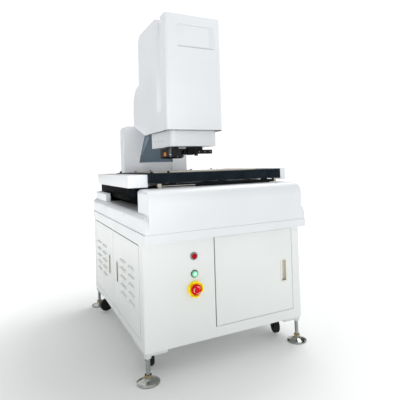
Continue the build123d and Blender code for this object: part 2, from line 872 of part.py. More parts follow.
def housing_form(wall):
    """The outer form of the upper housing, or its inner form when set in by the wall."""
    low = band_top - wall
    y0 = -band_overhang + housing_setback + wall
    y1 = cabinet_depth - wall
    tier = crowned(half_width - wall, (y0, y1), (low, deck_z - wall),
                   front_shoulder_radius - wall, rear_fairing_radius - wall, shoulder_radius - wall)
    half = half_width - fairing_inset - wall
    fairing = crowned(half, (y0, y0 + fairing_depth - 2 * wall), (low, fairing_top - wall),
                      fairing_front_radius - wall, rear_fairing_radius - wall, fairing_end_radius - wall)
    rear_top = band_top + rear_fairing_height - wall
    rear = crowned(half, (y1 - rear_fairing_depth + 2 * wall, y1), (low, rear_top),
                   rear_fairing_radius - wall, rear_fairing_radius - wall, rear_fairing_radius - wall)
    return tier + fairing + rear


def upper_housing():
    """The moulded cover, hollow and open below, with the well that the granite stands in."""
    shell = housing_form(0) - housing_form(housing_wall)
    well_x = granite_half + housing_clearance
    well_y = (cabinet_depth - rear_fairing_depth - housing_clearance, granite_back + housing_clearance)
    slot_x = granite_core_half + housing_clearance
    slot_y = (granite_front + granite_core_inset - housing_clearance, well_y[1])
    rear_top = band_top + rear_fairing_height
    liner_x = (-well_x - housing_wall, well_x + housing_wall)
    liner_y = (cabinet_depth - rear_fairing_depth + housing_wall, well_y[1] + housing_wall)
    liner_z = (deck_z - housing_wall, rear_top - housing_wall / 2)
    shell = shell + block(liner_x, liner_y, liner_z)
    shell = shell - block((-well_x, well_x), well_y, (deck_z - 2 * housing_wall, rear_top + housing_wall))
    shell = shell - block((-slot_x, slot_x), slot_y, (band_top, rear_top + housing_wall))
    low_edges = shell.faces().sort_by(Axis.Z)[0].outer_wire().edges()
    return chamfer(low_edges, groove)


def lower_band():
    """A shallow tray on top of the cabinet that reaches out in front."""
    half = half_width + band_side
    outer = block((-half, half), (-band_overhang, cabinet_depth), (cabinet_top, band_top))
    outer = rounded(outer, Axis.Z, cabinet_corner_radius)
    outer = chamfer(outer.faces().sort_by(Axis.Z)[-1].edges(), groove)
    inner_x = half - band_wall
    inner_y = (-band_overhang + band_wall, cabinet_depth - band_wall)
    tray = outer - block((-inner_x, inner_x), inner_y, (cabinet_top + band_wall, band_top + band_wall))
    rim_x = half_width - groove - band_wall
    rim_y = (inner_y[0] + 2 * band_wall, inner_y[1] - 2 * band_wall)
    rim = block((-inner_x, inner_x), inner_y, (band_top - band_wall, band_top))
    tray = tray + rim - block((-rim_x, rim_x), rim_y, (cabinet_top + band_wall, band_top + 1))
    opening_x = granite_core_half + housing_clearance
    opening_y = (granite_front, granite_back)
    return tray - block((-opening_x, opening_x), opening_y, (cabinet_top - 1, cabinet_top + 2 * band_wall))


def granite_base():
    """The granite: a lipped slab whose core stands down into the housing."""
    slab_y = (granite_front, granite_back)
    slab = block((-granite_half, granite_half), slab_y, (granite_bottom, granite_top))
    slab = chamfer(slab.edges(), 1.5)
    core_y = (granite_front + granite_core_inset, granite_back - granite_core_inset)
    core_x = (-granite_core_half, granite_core_half)
    return slab + block(core_x, core_y, (granite_bottom - granite_core_depth, granite_bottom + 1.5))


def isolation_pads():
    solids = []
    for x in (-pad_x, pad_x):
        for y in pad_places_y:
            pad = rod_z(x, y, (cabinet_top - sheet, granite_bottom - granite_core_depth), pad_radius)
            solids.append(pad)
    return Compound(solids)


def guard_strips():
    strip = block((granite_half - guard_strip, granite_half), (granite_front, granite_back),
                  (granite_top, granite_top + guard_strip_height))
    strip = fillet(strip.edges().filter_by(Axis.Y).group_by(Axis.Z)[-1], 1.5)
    return Compound([strip, mirrored(strip)])


def guide_rails():
    """The two rails of the Y axis on the granite and the two of the vertical axis on the column."""
    half = rail_width / 2
    y_rail = block((y_rail_half - half, y_rail_half + half), (granite_front + 10, y_rail_end),
                   (granite_top, granite_top + rail_height))
    z_rail = block((z_rail_half - half, z_rail_half + half), (neck_face - rail_height, neck_face),
                   (z_rail_bottom, z_rail_top))
    return Compound([y_rail, mirrored(y_rail), z_rail, mirrored(z_rail)])


def saddle_carriages():
    """Four carriages that ride the Y rails below the saddle and four for the X rails above it."""
    solids = []
    half = carriage_width / 2
    slot = rail_width / 2 + carriage_clearance
    for y in y_carriages:
        ends = (y - carriage_length / 2, y + carriage_length / 2)
        car_z = (granite_top + carriage_lift, saddle_bottom)
        car = block((y_rail_half - half, y_rail_half + half), ends, car_z)
        way = block((y_rail_half - slot, y_rail_half + slot), (ends[0] - 1, ends[1] + 1),
                    (granite_top, granite_top + rail_height + carriage_clearance))
        solids.append(car - way)
        solids.append(mirrored(car - way))
    for y in (x_rail_front, x_rail_back):
        ends = (x_carriage_half - carriage_length / 2, x_carriage_half + carriage_length / 2)
        car = block(ends, (y - half, y + half), (saddle_top, saddle_top + x_carriage_height))
        way = block((ends[0] - 1, ends[1] + 1), (y - slot, y + slot),
                    (plate_bottom - rail_height - carriage_clearance, plate_bottom))
        solids.append(car - way)
        solids.append(mirrored(car - way))
    return Compound(solids)


def saddle():
    """The saddle plate with its light window, the two screw nuts and the scale's reading head."""
    plate = block((-saddle_half, saddle_half), (saddle_front, saddle_back), (saddle_bottom, saddle_top))
    plate = chamfer(plate.edges().filter_by(Axis.Z), 3)
    reach = backlight_size / 2 + light_window_margin
    window_y = (lens_y - y_travel_back - reach + light_window_margin, lens_y - y_travel_front + reach)
    plate = plate - block((lens_x - reach, lens_x + reach), window_y, (saddle_bottom - 1, saddle_top + 1))
    half = nut_size / 2
    y_nut = block((y_screw_x - half, y_screw_x + half), (y_nut_y - half, y_nut_y + half),
                  (granite_top + running_gap + 1, saddle_bottom))
    nut_bore = (y_nut_y - nut_size, y_nut_y + nut_size)
    y_nut = y_nut - rod_y(y_screw_x, y_screw_z, nut_bore, screw_radius + running_clearance)
    nut_z = (saddle_top, x_screw_z + x_screw_radius + 3)
    x_nut = block((-half, half), (x_screw_y - half, x_screw_y + half), nut_z)
    nut_bore = (-nut_size, nut_size)
    x_nut = x_nut - rod_x(x_screw_y, x_screw_z, nut_bore, x_screw_radius + running_clearance)
    head_y = (plate_front + scale_setback + scale_depth + 1, x_rail_front - rail_width)
    head = block((-15, 15), head_y, (saddle_top, plate_bottom - scale_drop))
    return plate + y_nut + x_nut + head


def y_screw():
    start = granite_front + screw_margin
    thread_y = (start + bearing_depth, y_screw_back - bearing_depth)
    screw = rod_y(y_screw_x, y_screw_z, thread_y, screw_radius)
    journal_y = (start, y_screw_back + coupling_reach)
    return screw + rod_y(y_screw_x, y_screw_z, journal_y, screw_radius - 2)


def x_screw():
    reach = plate_half - plate_end_wall
    screw = rod_x(x_screw_y, x_screw_z, (-reach + running_gap, reach - running_gap), x_screw_radius)
    journal_x = (-plate_half - coupling_reach, reach + plate_end_wall / 2)
    return screw + rod_x(x_screw_y, x_screw_z, journal_x, x_screw_radius - 1)


def z_screw():
    thread_z = (z_rail_bottom + bearing_depth + running_gap, z_rail_top - running_gap)
    screw = rod_z(0, z_screw_y, thread_z, z_screw_radius)
    journal_z = (z_rail_bottom + 2, neck_top + coupling_reach)
    return screw + rod_z(0, z_screw_y, journal_z, z_screw_radius - 2)


def axis_motors():
    """The motors of the Y and the vertical axis and the bearing blocks of their screws."""
    solids = []
    start = granite_front + screw_margin
    half = bearing_size / 2
    bearing_z = (granite_top, saddle_bottom - 2)
    bore_radius = screw_radius - 2 + running_clearance
    for y in (start, y_screw_back - bearing_depth):
        bearing = block((y_screw_x - half, y_screw_x + half), (y, y + bearing_depth), bearing_z)
        bore = rod_y(y_screw_x, y_screw_z, (y - 1, y + bearing_depth + 1), bore_radius)
        solids.append(bearing - bore)
    half = motor_size / 2
    motor_y = (y_motor_front, y_motor_front + motor_length)
    motor_z = (granite_top, granite_top + motor_size)
    motor = rounded(block((y_screw_x - half, y_screw_x + half), motor_y, motor_z), Axis.Y, 4)
    bore_y = (motor_y[0] - 1, motor_y[0] + coupling_reach)
    solids.append(motor - rod_y(y_screw_x, y_screw_z, bore_y, bore_radius))
    half = bearing_size / 2
    bore_radius = z_screw_radius - 2 + running_clearance
    bearing_y = (neck_face - z_bearing_depth, neck_face)
    for z in (z_rail_bottom, z_rail_top):
        bearing = block((-half, half), bearing_y, (z, z + bearing_depth))
        bore = rod_z(0, z_screw_y, (z - 1, z + bearing_depth + 1), bore_radius)
        solids.append(bearing - bore)
    half = z_motor_size / 2
    motor_low = neck_top + z_motor_plate
    motor_z = (motor_low, motor_low + motor_length)
    motor = block((-half, half), (z_screw_y - half, z_screw_y + half), motor_z)
    motor = rounded(motor, Axis.Z, 4)
    half = z_motor_plate_half
    plate_y = (z_screw_y - half, neck_face + z_motor_plate_depth)
    motor = motor + block((-half, half), plate_y, (neck_top, motor_low))
    bore_z = (neck_top - 1, neck_top + coupling_reach + 1)
    solids.append(motor - rod_z(0, z_screw_y, bore_z, bore_radius))
    return Compound(solids)


def light_source():
    """The round transmitted-light unit under the stage, on the lens axis."""
    high = granite_top + backlight_height
    radius = backlight_size / 2
    body = rod_z(lens_x, lens_y, (granite_top, high), radius - 4)
    flange = rod_z(lens_x, lens_y, (granite_top, granite_top + 5), radius)
    return body + flange - rod_z(lens_x, lens_y, (high - 3, high + 1), radius - 10)


def in_window(rim, z):
    """A block over the stage's window, wider than it by the rim on each side."""
    return block((-window_half - rim, window_half + rim), (window_front - rim, window_back + rim), z)


def stage_plate():
    """The black plate: a window with a ledge for the glass, and a channel below for the screw."""
    plate = block((-plate_half, plate_half), (plate_front, plate_back), (plate_bottom, plate_top))
    plate = rounded(plate, Axis.Z, plate_corner)
    plate = chamfer(plate.faces().sort_by(Axis.Z)[-1].edges(), 1.5)
    plate = plate - in_window(0, (plate_bottom - 1, plate_top + 1))
    plate = plate - in_window(glass_rim, (plate_top - glass_seat, plate_top + 1))
    channel_x = plate_half - plate_end_wall
    half = channel_width / 2
    channel_z = (plate_bottom - 1, plate_bottom + channel_depth)
    channel = block((-channel_x, channel_x), (x_screw_y - half, x_screw_y + half), channel_z)
    bore_x = (-plate_half - 1, channel_x + plate_end_wall - 3)
    return plate - channel - rod_x(x_screw_y, x_screw_z, bore_x, x_screw_radius - 1 + running_clearance)


def stage_glass():
    """The glass, with a rebated edge under its frame and the measuring field above it."""
    low = plate_top - glass_seat
    edge_top = low + glass_thickness
    field = in_window(-glass_frame_lap - glass_gap, (edge_top - 1, edge_top + glass_field_rise))
    return in_window(glass_rim - glass_gap, (low, edge_top)) + field


def glass_frame():
    """The bright frame that holds the glass down."""
    low = plate_top - glass_seat + glass_thickness
    high = plate_top + glass_frame_proud
    frame = in_window(glass_rim - glass_gap, (low, high)) - in_window(-glass_frame_lap, (low - 1, high + 1))
    return chamfer(frame.faces().sort_by(Axis.Z)[-1].edges(), 1)


def stage_knobs():
    """Small clamp knobs along the rim of the plate."""
    solids = []
    places = [(x, rim_knob_y) for x in rim_knob_x] + [(x, front_knob_y) for x in front_knob_x]
    for x, y in places:
        knob = rod_z(x, y, (plate_top, plate_top + knob_height), knob_radius)
        solids.append(chamfer(knob.edges().group_by(Axis.Z)[-1], 1))
    return Compound(solids)


def x_rails():
    half = rail_width / 2
    z = (plate_bottom - rail_height, plate_bottom)
    rail_x = (-x_rail_half, x_rail_half)
    return Compound([block(rail_x, (y - half, y + half), z) for y in (x_rail_front, x_rail_back)])


def x_motor():
    half = x_motor_size / 2
    start = -plate_half - left_cover_width + cover_wall + running_gap
    x = (start, -plate_half - coupling_gap)
    motor = block(x, (x_screw_y - half, x_screw_y + half), (x_screw_z - half, x_screw_z + half))
    motor = rounded(motor, Axis.X, 4)
    mount_z = (x_screw_z + half - 8, x_screw_z + half)
    mount = block((x[1] - 1, -plate_half), (x_screw_y - half, x_screw_y + half), mount_z)
    bore_x = (-plate_half - coupling_reach - 1, 0)
    return motor + mount - rod_x(x_screw_y, x_screw_z, bore_x, x_screw_radius - 1 + running_clearance)


def drive_cover():
    """The white cover on the left end of the stage, open below and towards the plate."""
    low = plate_top - cover_step - left_cover_height
    high = plate_top - cover_step
    outer_x = (-plate_half - left_cover_width, -plate_half)
    y = (plate_front + cover_setback, left_cover_back)
    outer = block(outer_x, y, (low, high))
    outer = fillet(outer.edges().filter_by(Axis.Z).group_by(Axis.X)[0], 5)
    wall = cover_wall
    inner_z = (low - 1, high - wall)
    inner = block((outer_x[0] + wall, outer_x[1] - wall), (y[0] + wall, y[1] - wall), inner_z)
    mouth = block((outer_x[0] + wall, outer_x[1] + 1), (y[0] + wall, plate_back - wall), inner_z)
    return outer - inner - mouth


def end_cover():
    """The thin white cover on the right end of the stage."""
    high = plate_top + right_cover_proud
    low = high - right_cover_height
    x = (plate_half, plate_half + right_cover_width)
    outer = block(x, (plate_front, plate_back), (low, high))
    outer = fillet(outer.edges().filter_by(Axis.Z).group_by(Axis.X)[-1], 3)
    wall = cover_wall
    inner_y = (plate_front + wall, plate_back - wall)
    return outer - block((x[0] - 1, x[1] - wall), inner_y, (low - 1, high - wall))


def linear_scale():
    """The scale's long housing below the front edge of the plate, with an end block at each end."""
    y = (plate_front + scale_setback, plate_front + scale_setback + scale_depth)
    top = plate_bottom - scale_drop
    bar = block((scale_left, scale_right), y, (top - scale_height, top))
    bar = chamfer(bar.edges().filter_by(Axis.X), 1)
    for x in (scale_left, scale_right - scale_end):
        bar = bar + block((x, x + scale_end), (y[0] - 2, y[1]), (top - scale_height, top + 3))
    middle = (scale_left + scale_right) / 2
    for x in (scale_left + scale_hanger, middle, scale_right - scale_hanger):
        bar = bar + block((x - scale_end, x + scale_end), y, (top, plate_bottom))
    return bar


def belly_wedge(gap, y, z):
    """A prism through the column's front skin that narrows upwards, wider by a gap all round."""
    taper = (belly_foot_half - belly_head_half) / (neck_bottom - belly_low)
    low_half = belly_foot_half + gap + taper * (belly_low - z[0])
    high_half = belly_foot_half + gap + taper * (belly_low - z[1])
    corners = [(-low_half, z[0]), (low_half, z[0]), (high_half, z[1]), (-high_half, z[1])]
    outline = make_face(Polyline(*[(x, front + y[0], height) for x, height in corners], close=True))
    return extrude(outline, amount=y[1] - y[0], dir=(0, 1, 0))


def column_frame():
    """The casting: an upright on the granite and the head carrier that leans out of it."""
    core_top = column_top - 3 * head_wall
    core = block((-core_half, core_half), (core_front, core_back), (granite_top, core_top))
    high = head_hump_bottom - 2 * neck_clearance
    hump_y = head_hump_back - neck_set_in
    throat = side_profile([(neck_face, neck_bottom), (belly_front, neck_bottom), (hump_y, high),
                           (neck_face, high)], (-neck_half, neck_half))
    neck_box = block((-neck_half, neck_half), (neck_face, head_hump_back), (high, neck_top))
    neck = rear_cover_form(neck_set_in, 0) & neck_box
    belly = side_profile([(belly_front, neck_bottom), (core_front + 2, belly_low), (core_front + 2, high),
                          (hump_y, high)], (-core_half, core_half))
    belly = belly & belly_wedge(0, (belly_front - 1, core_front + 3), (belly_low - 1, high + 1))
    parts = [core, throat, neck, belly]
    arm_y = (head_belly_front - bracket_width, head_belly_front)
    for z in bracket_heights:
        arm = block((neck_half - 1, head_half - head_wall), arm_y, (z, z + bracket_width))
        parts += [arm, mirrored(arm)]
    tie_y = (core_front + bracket_width / 2, core_front + 3 * bracket_width / 2)
    tie_z = (core_top - 2 * bracket_width, core_top - bracket_width)
    tie = block((core_half - 1, column_half - head_wall), tie_y, tie_z)
    return union(parts + [tie, mirrored(tie)])


def column_cover():
    """The white column cover with its two cheeks, open where the casting leans out."""
    back_y = column_front + column_depth
    outer = block((-column_half, column_half), (column_front, back_y), (granite_top, column_top))
    outer = fillet(outer.edges().filter_by(Axis.Y).group_by(Axis.Z)[-1], column_corner)
    wall = head_wall
    inner = block((-column_half + wall, column_half - wall), (column_front + wall, back_y - wall),
                  (granite_top - 1, column_top - wall))
    inner = fillet(inner.edges().filter_by(Axis.Y).group_by(Axis.Z)[-1], column_corner - wall)
    shell = outer - inner
    depth = column_recess_depth
    skin_y = (column_front - 1, column_front + depth + wall)
    backing_x = (column_recess[0] - wall, column_recess[1] + wall)
    backing = block(backing_x, (column_front, skin_y[1]), (granite_top, column_recess_top + wall))
    recess = block(column_recess, (skin_y[0], column_front + depth), (granite_top - 1, column_recess_top))
    slot_z = (belly_low - 2 * neck_clearance, column_top - 2 * wall)
    return shell + backing - recess - belly_wedge(neck_clearance, skin_y, slot_z)


def rear_cover_form(wall, drop):
    """The side view of the rear head cover, with its rounded roof corner and its hump."""
    top = head_top - wall
    back_y = head_back - wall
    hump_y = head_hump_back - wall
    hump_z = head_hump_top - wall
    points = [(head_seam - drop, head_bottom - drop), (head_belly_front, head_bottom - drop),
              (hump_y, head_hump_bottom - drop), (hump_y, hump_z), (back_y, hump_z),
              (back_y, top), (head_seam - drop, top)]
    form = side_profile(points, (-head_half + wall, head_half - wall))
    edges = form.edges().filter_by(Axis.X)
    hump = edges.sort_by(Axis.Y)[-2:].sort_by(Axis.Z)[-1]
    form = fillet(hump, head_hump_radius - wall)
    roof = form.edges().filter_by(Axis.X).sort_by(Axis.Z)[-2:].sort_by(Axis.Y)[-1]
    return fillet(roof, head_roof_corner - wall)


def rear_head_cover():
    return rear_cover_form(0, 0) - rear_cover_form(head_wall, head_wall * 3)


def front_head_cover():
    """The front shell of the head: it stands slightly proud and has a bevelled window recess."""
    half = head_half + front_cover_proud
    outer = block((-half, half), (head_front, head_seam), (head_bottom, head_top))
    outer = fillet(outer.edges().filter_by(Axis.Z).group_by(Axis.Y)[0], head_front_corner)
    wall = head_wall
    inner_z = (head_bottom - 1, head_top - wall)
    inner = block((-half + wall, half - wall), (head_front + wall, head_seam + 1), inner_z)
    inner = fillet(inner.edges().filter_by(Axis.Z).group_by(Axis.Y)[0], head_front_corner - wall)
    depth = window_recess_depth
    x0, x1 = window_recess
    z = (window_recess_bottom, window_recess_top)
    backing_z = (z[0] - wall, z[1] + wall)
    backing = block((x0 - wall, x1 + wall), (head_front, head_front + depth + wall), backing_z)
    y0 = front + head_front
    bevel_x = x1 - window_recess_bevel
    plan = [(x0, y0 - 1), (x1, y0 - 1), (x1, y0), (bevel_x, y0 + depth), (x0, y0 + depth)]
    pocket = make_face(Polyline(*[(x, y, z[0]) for x, y in plan], close=True))
    pocket = extrude(pocket, amount=z[1] - z[0], dir=(0, 0, 1))
    return outer - inner + backing - pocket


def lower_head_box():
    """The moving lower box: open above and behind, with a passage for the optics."""
    outer = block((-box_half, box_half), (box_front, box_back), (box_bottom, box_bottom + box_height))
    outer = fillet(outer.edges().filter_by(Axis.Z).group_by(Axis.Y)[0], box_corner)
    wall = box_wall
    inner_z = (box_bottom + wall, box_bottom + box_height + 1)
    inner = block((-box_half + wall, box_half - wall), (box_front + wall, box_back + 1), inner_z)
    inner = fillet(inner.edges().filter_by(Axis.Z).group_by(Axis.Y)[0], box_corner - wall)
    floor_cut = (box_bottom - 1, box_bottom + wall + 1)
    box = outer - inner - rod_z(lens_x, lens_y, floor_cut, lens_radius + lens_gap)
    half = neck_half + neck_clearance
    notch_y = (neck_face - z_bearing_depth - neck_clearance, box_back + 1)
    box = box - block((-half, half), notch_y, floor_cut)
    panel_z = (box_bottom + box_panel_foot, box_bottom + box_panel_foot + box_panel_height)
    return box - block(box_panel, (box_front - 1, box_front + box_panel_depth), panel_z)


def z_slide():
    """The vertical slide: plate, side flanges, four carriages and the nut of the screw."""
    plate_y = (z_plate_front, z_plate_front + z_plate_thickness)
    plate = block((-z_plate_half, z_plate_half), plate_y, (z_plate_bottom, z_plate_top))
    flange_x = box_half - box_wall
    plate = plate + block((-flange_x, flange_x), plate_y, (z_plate_bottom + 5, z_plate_bottom + 55))
    half = carriage_width / 2
    slot = rail_width / 2 + carriage_clearance
    for z in z_carriages:
        ends = (z - carriage_length / 2, z + carriage_length / 2)
        car = block((z_rail_half - half, z_rail_half + half), (plate_y[1], neck_face - carriage_lift), ends)
        way = block((z_rail_half - slot, z_rail_half + slot),
                    (neck_face - rail_height - carriage_clearance, neck_face), (ends[0] - 1, ends[1] + 1))
        plate = plate + pair(car - way)
    nut_z = (z_nut - nut_size / 2, z_nut + nut_size / 2)
    nut = block((-nut_size / 2 - 2, nut_size / 2 + 2), (plate_y[1], neck_face - carriage_lift), nut_z)
    bore_z = (nut_z[0] - 1, nut_z[1] + 1)
    return plate + nut - rod_z(0, z_screw_y, bore_z, z_screw_radius + running_clearance)


def zoom_camera():
    """The zoom lens with its stepped barrel, the camera on top and the two arms to the slide."""
    nose = box_bottom - ring_gap - nose_depth
    low = box_bottom
    r = lens_radius
    barrel = turned([(0, nose), (r - 4, nose), (r - 4, low + 6), (r, low + 6), (r, low + 60),
                     (r - 5, low + 64), (r - 5, low + 110), (r, low + 114), (r, lens_top - 30),
                     (r - 9, lens_top - 22), (r - 9, lens_top), (0, lens_top)])
    barrel = Pos(lens_x, front + lens_y, 0) * barrel
    half = camera_size / 2
    camera_z = (lens_top, lens_top + camera_height)
    camera = block((lens_x - half, lens_x + half), (lens_y - half, lens_y + half), camera_z)
    camera = rounded(camera, Axis.Z, 3)
    arms = []
    for z in (box_bottom + 30, lens_top - 60):
        arm = block((lens_x - r - 6, lens_x + r + 6), (lens_y - r - 4, z_plate_front), (z, z + 18))
        arms.append(arm)
    return barrel + camera + arms[0] + arms[1]


def ring_light():
    """The ring light: a bevelled drum on a collar below the moving box."""
    high = box_bottom - ring_gap
    low = high - ring_height
    r = ring_radius
    bore = lens_radius - 1
    drum = turned([(bore, low), (r - ring_bevel, low), (r, low + ring_bevel), (r, high), (bore + 12, high),
                   (bore + 12, box_bottom), (bore, box_bottom)])
    mouth = r - ring_bevel - 8
    pit = turned([(bore - 1, low - 1), (mouth, low - 1), (bore + 4, low + 9), (bore - 1, low + 9)])
    drum = drum - pit
    for step in range(ring_ribs):
        groove_cut = turned([(r - 1.2, 0), (r + 1, 0), (r + 1, 2), (r - 1.2, 2)])
        drum = drum - Pos(0, 0, high - 10 - step * 8) * groove_cut
    return Pos(lens_x, front + lens_y, 0) * drum


def side_sensor():
    """The second sensor: a ribbed body, a small boss and the bar that carries them."""
    body_x = (sensor_left, sensor_left + sensor_width)
    y = (sensor_y - sensor_width / 2, sensor_y + sensor_width / 2)
    body = block(body_x, y, (box_bottom - sensor_height, box_bottom))
    body = chamfer(body.edges().filter_by(Axis.Y).group_by(Axis.Z)[0], 8)
    for rib in range(sensor_ribs):
        x = body_x[0] + 6 + rib * 7
        rib_z = (box_bottom - sensor_height - 1, box_bottom - 8)
        body = body - block((x, x + 3), (y[0] - 1, y[0] + 3), rib_z)
    bar_y = (sensor_y - 8, sensor_y + 8)
    bar = block((body_x[1] - 1, sensor_right), bar_y, (box_bottom - 34, box_bottom - 14))
    bar = chamfer(bar.edges().filter_by(Axis.Y).group_by(Axis.X)[-1], 2)
    hanger = block((body_x[1] - 1, body_x[1] + 44), bar_y, (box_bottom - 15, box_bottom))
    boss = rod_z(body_x[1] + 12, sensor_y, (box_bottom - 43, box_bottom - 33), 9)
    return body + bar + hanger + boss


os.makedirs("parts", exist_ok=True)
save("cabinet_body", cabinet_body())
save("machine_frame", machine_frame())
save("rear_panel", rear_panel())
save("power_inlet", power_inlet())
save("control_box", control_box())
save("front_door", in_front(front_door()))
save("door_pull", in_front(pull_cup(*front_pull_place)))
save("side_door_rear", in_side_rear(side_door()))
save("side_door_front", in_side_front(side_door()))
save("side_handle_rear", in_side_rear(pull_cup(*side_pull_place)))
save("side_handle_front", in_side_front(pull_cup(*side_pull_place)))
pivot_solids = [in_front(piece) for piece in pivots(front_door_z)]
pivot_solids += [in_side_rear(piece) for piece in pivots(side_door_z)]
pivot_solids += [in_side_front(piece) for piece in pivots(side_door_z)]
save("door_pivots", Compound(pivot_solids))
save("switch_bodies", switch_bodies())
save("lamp_lens", lamp_lens())
save("start_button", start_button())
save("estop_guard", estop_guard())
save("estop_button", estop_button())
corner_names = ("front_left", "front_right", "rear_left", "rear_right")
for name, foot_place, place, heading in zip(corner_names, foot_places, caster_places, caster_headings):
    save(f"foot_{name}", foot(*foot_place))
    save(f"caster_fork_{name}", caster_fork(*place, heading))
    save(f"caster_wheel_{name}", caster_wheel(*place, heading))
save("lower_band", lower_band())
save("upper_housing", upper_housing())
save("granite_base", granite_base())
save("isolation_pads", isolation_pads())
save("guard_strips", guard_strips())
save("guide_rails", guide_rails())
save("axis_motors", axis_motors())
save("light_source", light_source())
save("y_screw", y_screw())
save("saddle", saddle())
save("saddle_carriages", saddle_carriages())
save("stage_plate", stage_plate())
save("stage_glass", stage_glass())
save("glass_frame", glass_frame())
save("stage_knobs", stage_knobs())
save("x_rails", x_rails())
save("x_screw", x_screw())
save("x_motor", x_motor())
save("drive_cover", drive_cover())
save("end_cover", end_cover())
save("linear_scale", linear_scale())
save("column_frame", column_frame())
save("column_cover", column_cover())
save("rear_head_cover", rear_head_cover())
save("front_head_cover", front_head_cover())
save("z_screw", z_screw())
save("z_slide", z_slide())
save("zoom_camera", zoom_camera())
save("ring_light", ring_light())
save("lower_head_box", lower_head_box())
save("side_sensor", side_sensor())
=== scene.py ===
import math

import bmesh
import bpy
from mathutils import Matrix, Vector


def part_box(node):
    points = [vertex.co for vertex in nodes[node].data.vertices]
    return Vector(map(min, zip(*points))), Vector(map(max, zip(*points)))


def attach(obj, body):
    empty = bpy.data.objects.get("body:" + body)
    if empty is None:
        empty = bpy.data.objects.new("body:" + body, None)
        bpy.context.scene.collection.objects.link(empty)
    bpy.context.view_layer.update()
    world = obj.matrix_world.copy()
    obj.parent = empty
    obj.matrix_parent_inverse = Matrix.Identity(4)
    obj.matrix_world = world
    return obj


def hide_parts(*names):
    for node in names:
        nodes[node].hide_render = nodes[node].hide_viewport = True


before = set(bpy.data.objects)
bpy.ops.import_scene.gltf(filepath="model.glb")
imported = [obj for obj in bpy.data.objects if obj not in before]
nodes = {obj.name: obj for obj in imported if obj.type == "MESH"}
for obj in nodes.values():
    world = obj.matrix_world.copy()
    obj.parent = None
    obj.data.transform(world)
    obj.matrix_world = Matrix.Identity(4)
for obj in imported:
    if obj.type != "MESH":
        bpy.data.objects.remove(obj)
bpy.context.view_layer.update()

# Camera, fitted to the edges of the machine in the photograph; these three are in its pixels
photo_side = 400.0
focal_length = 402.34
optical_centre = (223.82, 159.42)
camera_place = (-0.7485, -1.9005, 0.7841)
yaw = math.radians(-27.48)
pitch = math.radians(0.65)
roll = math.radians(-1.72)
forward = Vector((-math.sin(yaw) * math.cos(pitch), math.cos(yaw) * math.cos(pitch), math.sin(pitch)))
level = Vector((math.cos(yaw), math.sin(yaw), 0.0))
upright = level.cross(forward)
right = math.cos(roll) * level + math.sin(roll) * upright
above = -math.sin(roll) * level + math.cos(roll) * upright
camera_data = bpy.data.cameras.new("camera")
camera_data.sensor_width = 36.0
camera_data.lens = focal_length / photo_side * camera_data.sensor_width
camera_data.shift_x = (photo_side / 2 - optical_centre[0]) / photo_side
camera_data.shift_y = (optical_centre[1] - photo_side / 2) / photo_side
camera_data.clip_start = 0.05
camera_data.clip_end = 60.0
camera = bpy.data.objects.new("camera", camera_data)
turn = Matrix((right, above, -forward)).transposed().to_4x4()
camera.matrix_world = Matrix.Translation(camera_place) @ turn
bpy.context.scene.collection.objects.link(camera)
bpy.context.scene.camera = camera


# Materials
def new_material(name):
    """A material with its node tree and its shader node."""
    material = bpy.data.materials.new(name)
    material.use_nodes = True
    tree = material.node_tree
    shader = tree.nodes["Principled BSDF"]
    return material, tree, shader


def node(tree, kind, **values):
    """A node of one kind, with its settings."""
    made = tree.nodes.new(kind)
    for key, value in values.items():
        setattr(made, key, value)
    return made


def noise(tree, scale, detail=3.0, stretch=None):
    """A noise texture on the object's own coordinates, optionally stretched along an axis."""
    place = node(tree, "ShaderNodeTexCoord")
    texture = node(tree, "ShaderNodeTexNoise")
    texture.inputs["Scale"].default_value = scale
    texture.inputs["Detail"].default_value = detail
    if stretch:
        mapping = node(tree, "ShaderNodeMapping")
        mapping.inputs["Scale"].default_value = stretch
        tree.links.new(place.outputs["Object"], mapping.inputs["Vector"])
        tree.links.new(mapping.outputs["Vector"], texture.inputs["Vector"])
    else:
        tree.links.new(place.outputs["Object"], texture.inputs["Vector"])
    return texture.outputs["Fac"]


def blend_colours(tree, factor, low, high, start=0.35, end=0.65):
    """One colour up to a start and another from an end on, and a blend between them."""
    ramp = node(tree, "ShaderNodeValToRGB")
    ramp.color_ramp.elements[0].position = start
    ramp.color_ramp.elements[1].position = end
    ramp.color_ramp.elements[0].color = (*low, 1.0)
    ramp.color_ramp.elements[1].color = (*high, 1.0)
    tree.links.new(factor, ramp.inputs["Fac"])
    return ramp.outputs["Color"]


def to_range(tree, factor, low, high, start=0.0, end=1.0):
    """A number brought from one range, start to end, into another, low to high."""
    span = node(tree, "ShaderNodeMapRange")
    span.inputs["From Min"].default_value = start
    span.inputs["From Max"].default_value = end
    span.inputs["To Min"].default_value = low
    span.inputs["To Max"].default_value = high
    tree.links.new(factor, span.inputs["Value"])
    return span.outputs["Result"]


def bump(tree, shader, factor, strength, distance):
    """Fine relief on the shader from a number between nought and one."""
    relief = node(tree, "ShaderNodeBump")
    relief.inputs["Strength"].default_value = strength
    relief.inputs["Distance"].default_value = distance
    tree.links.new(factor, relief.inputs["Height"])
    tree.links.new(relief.outputs["Normal"], shader.inputs["Normal"])


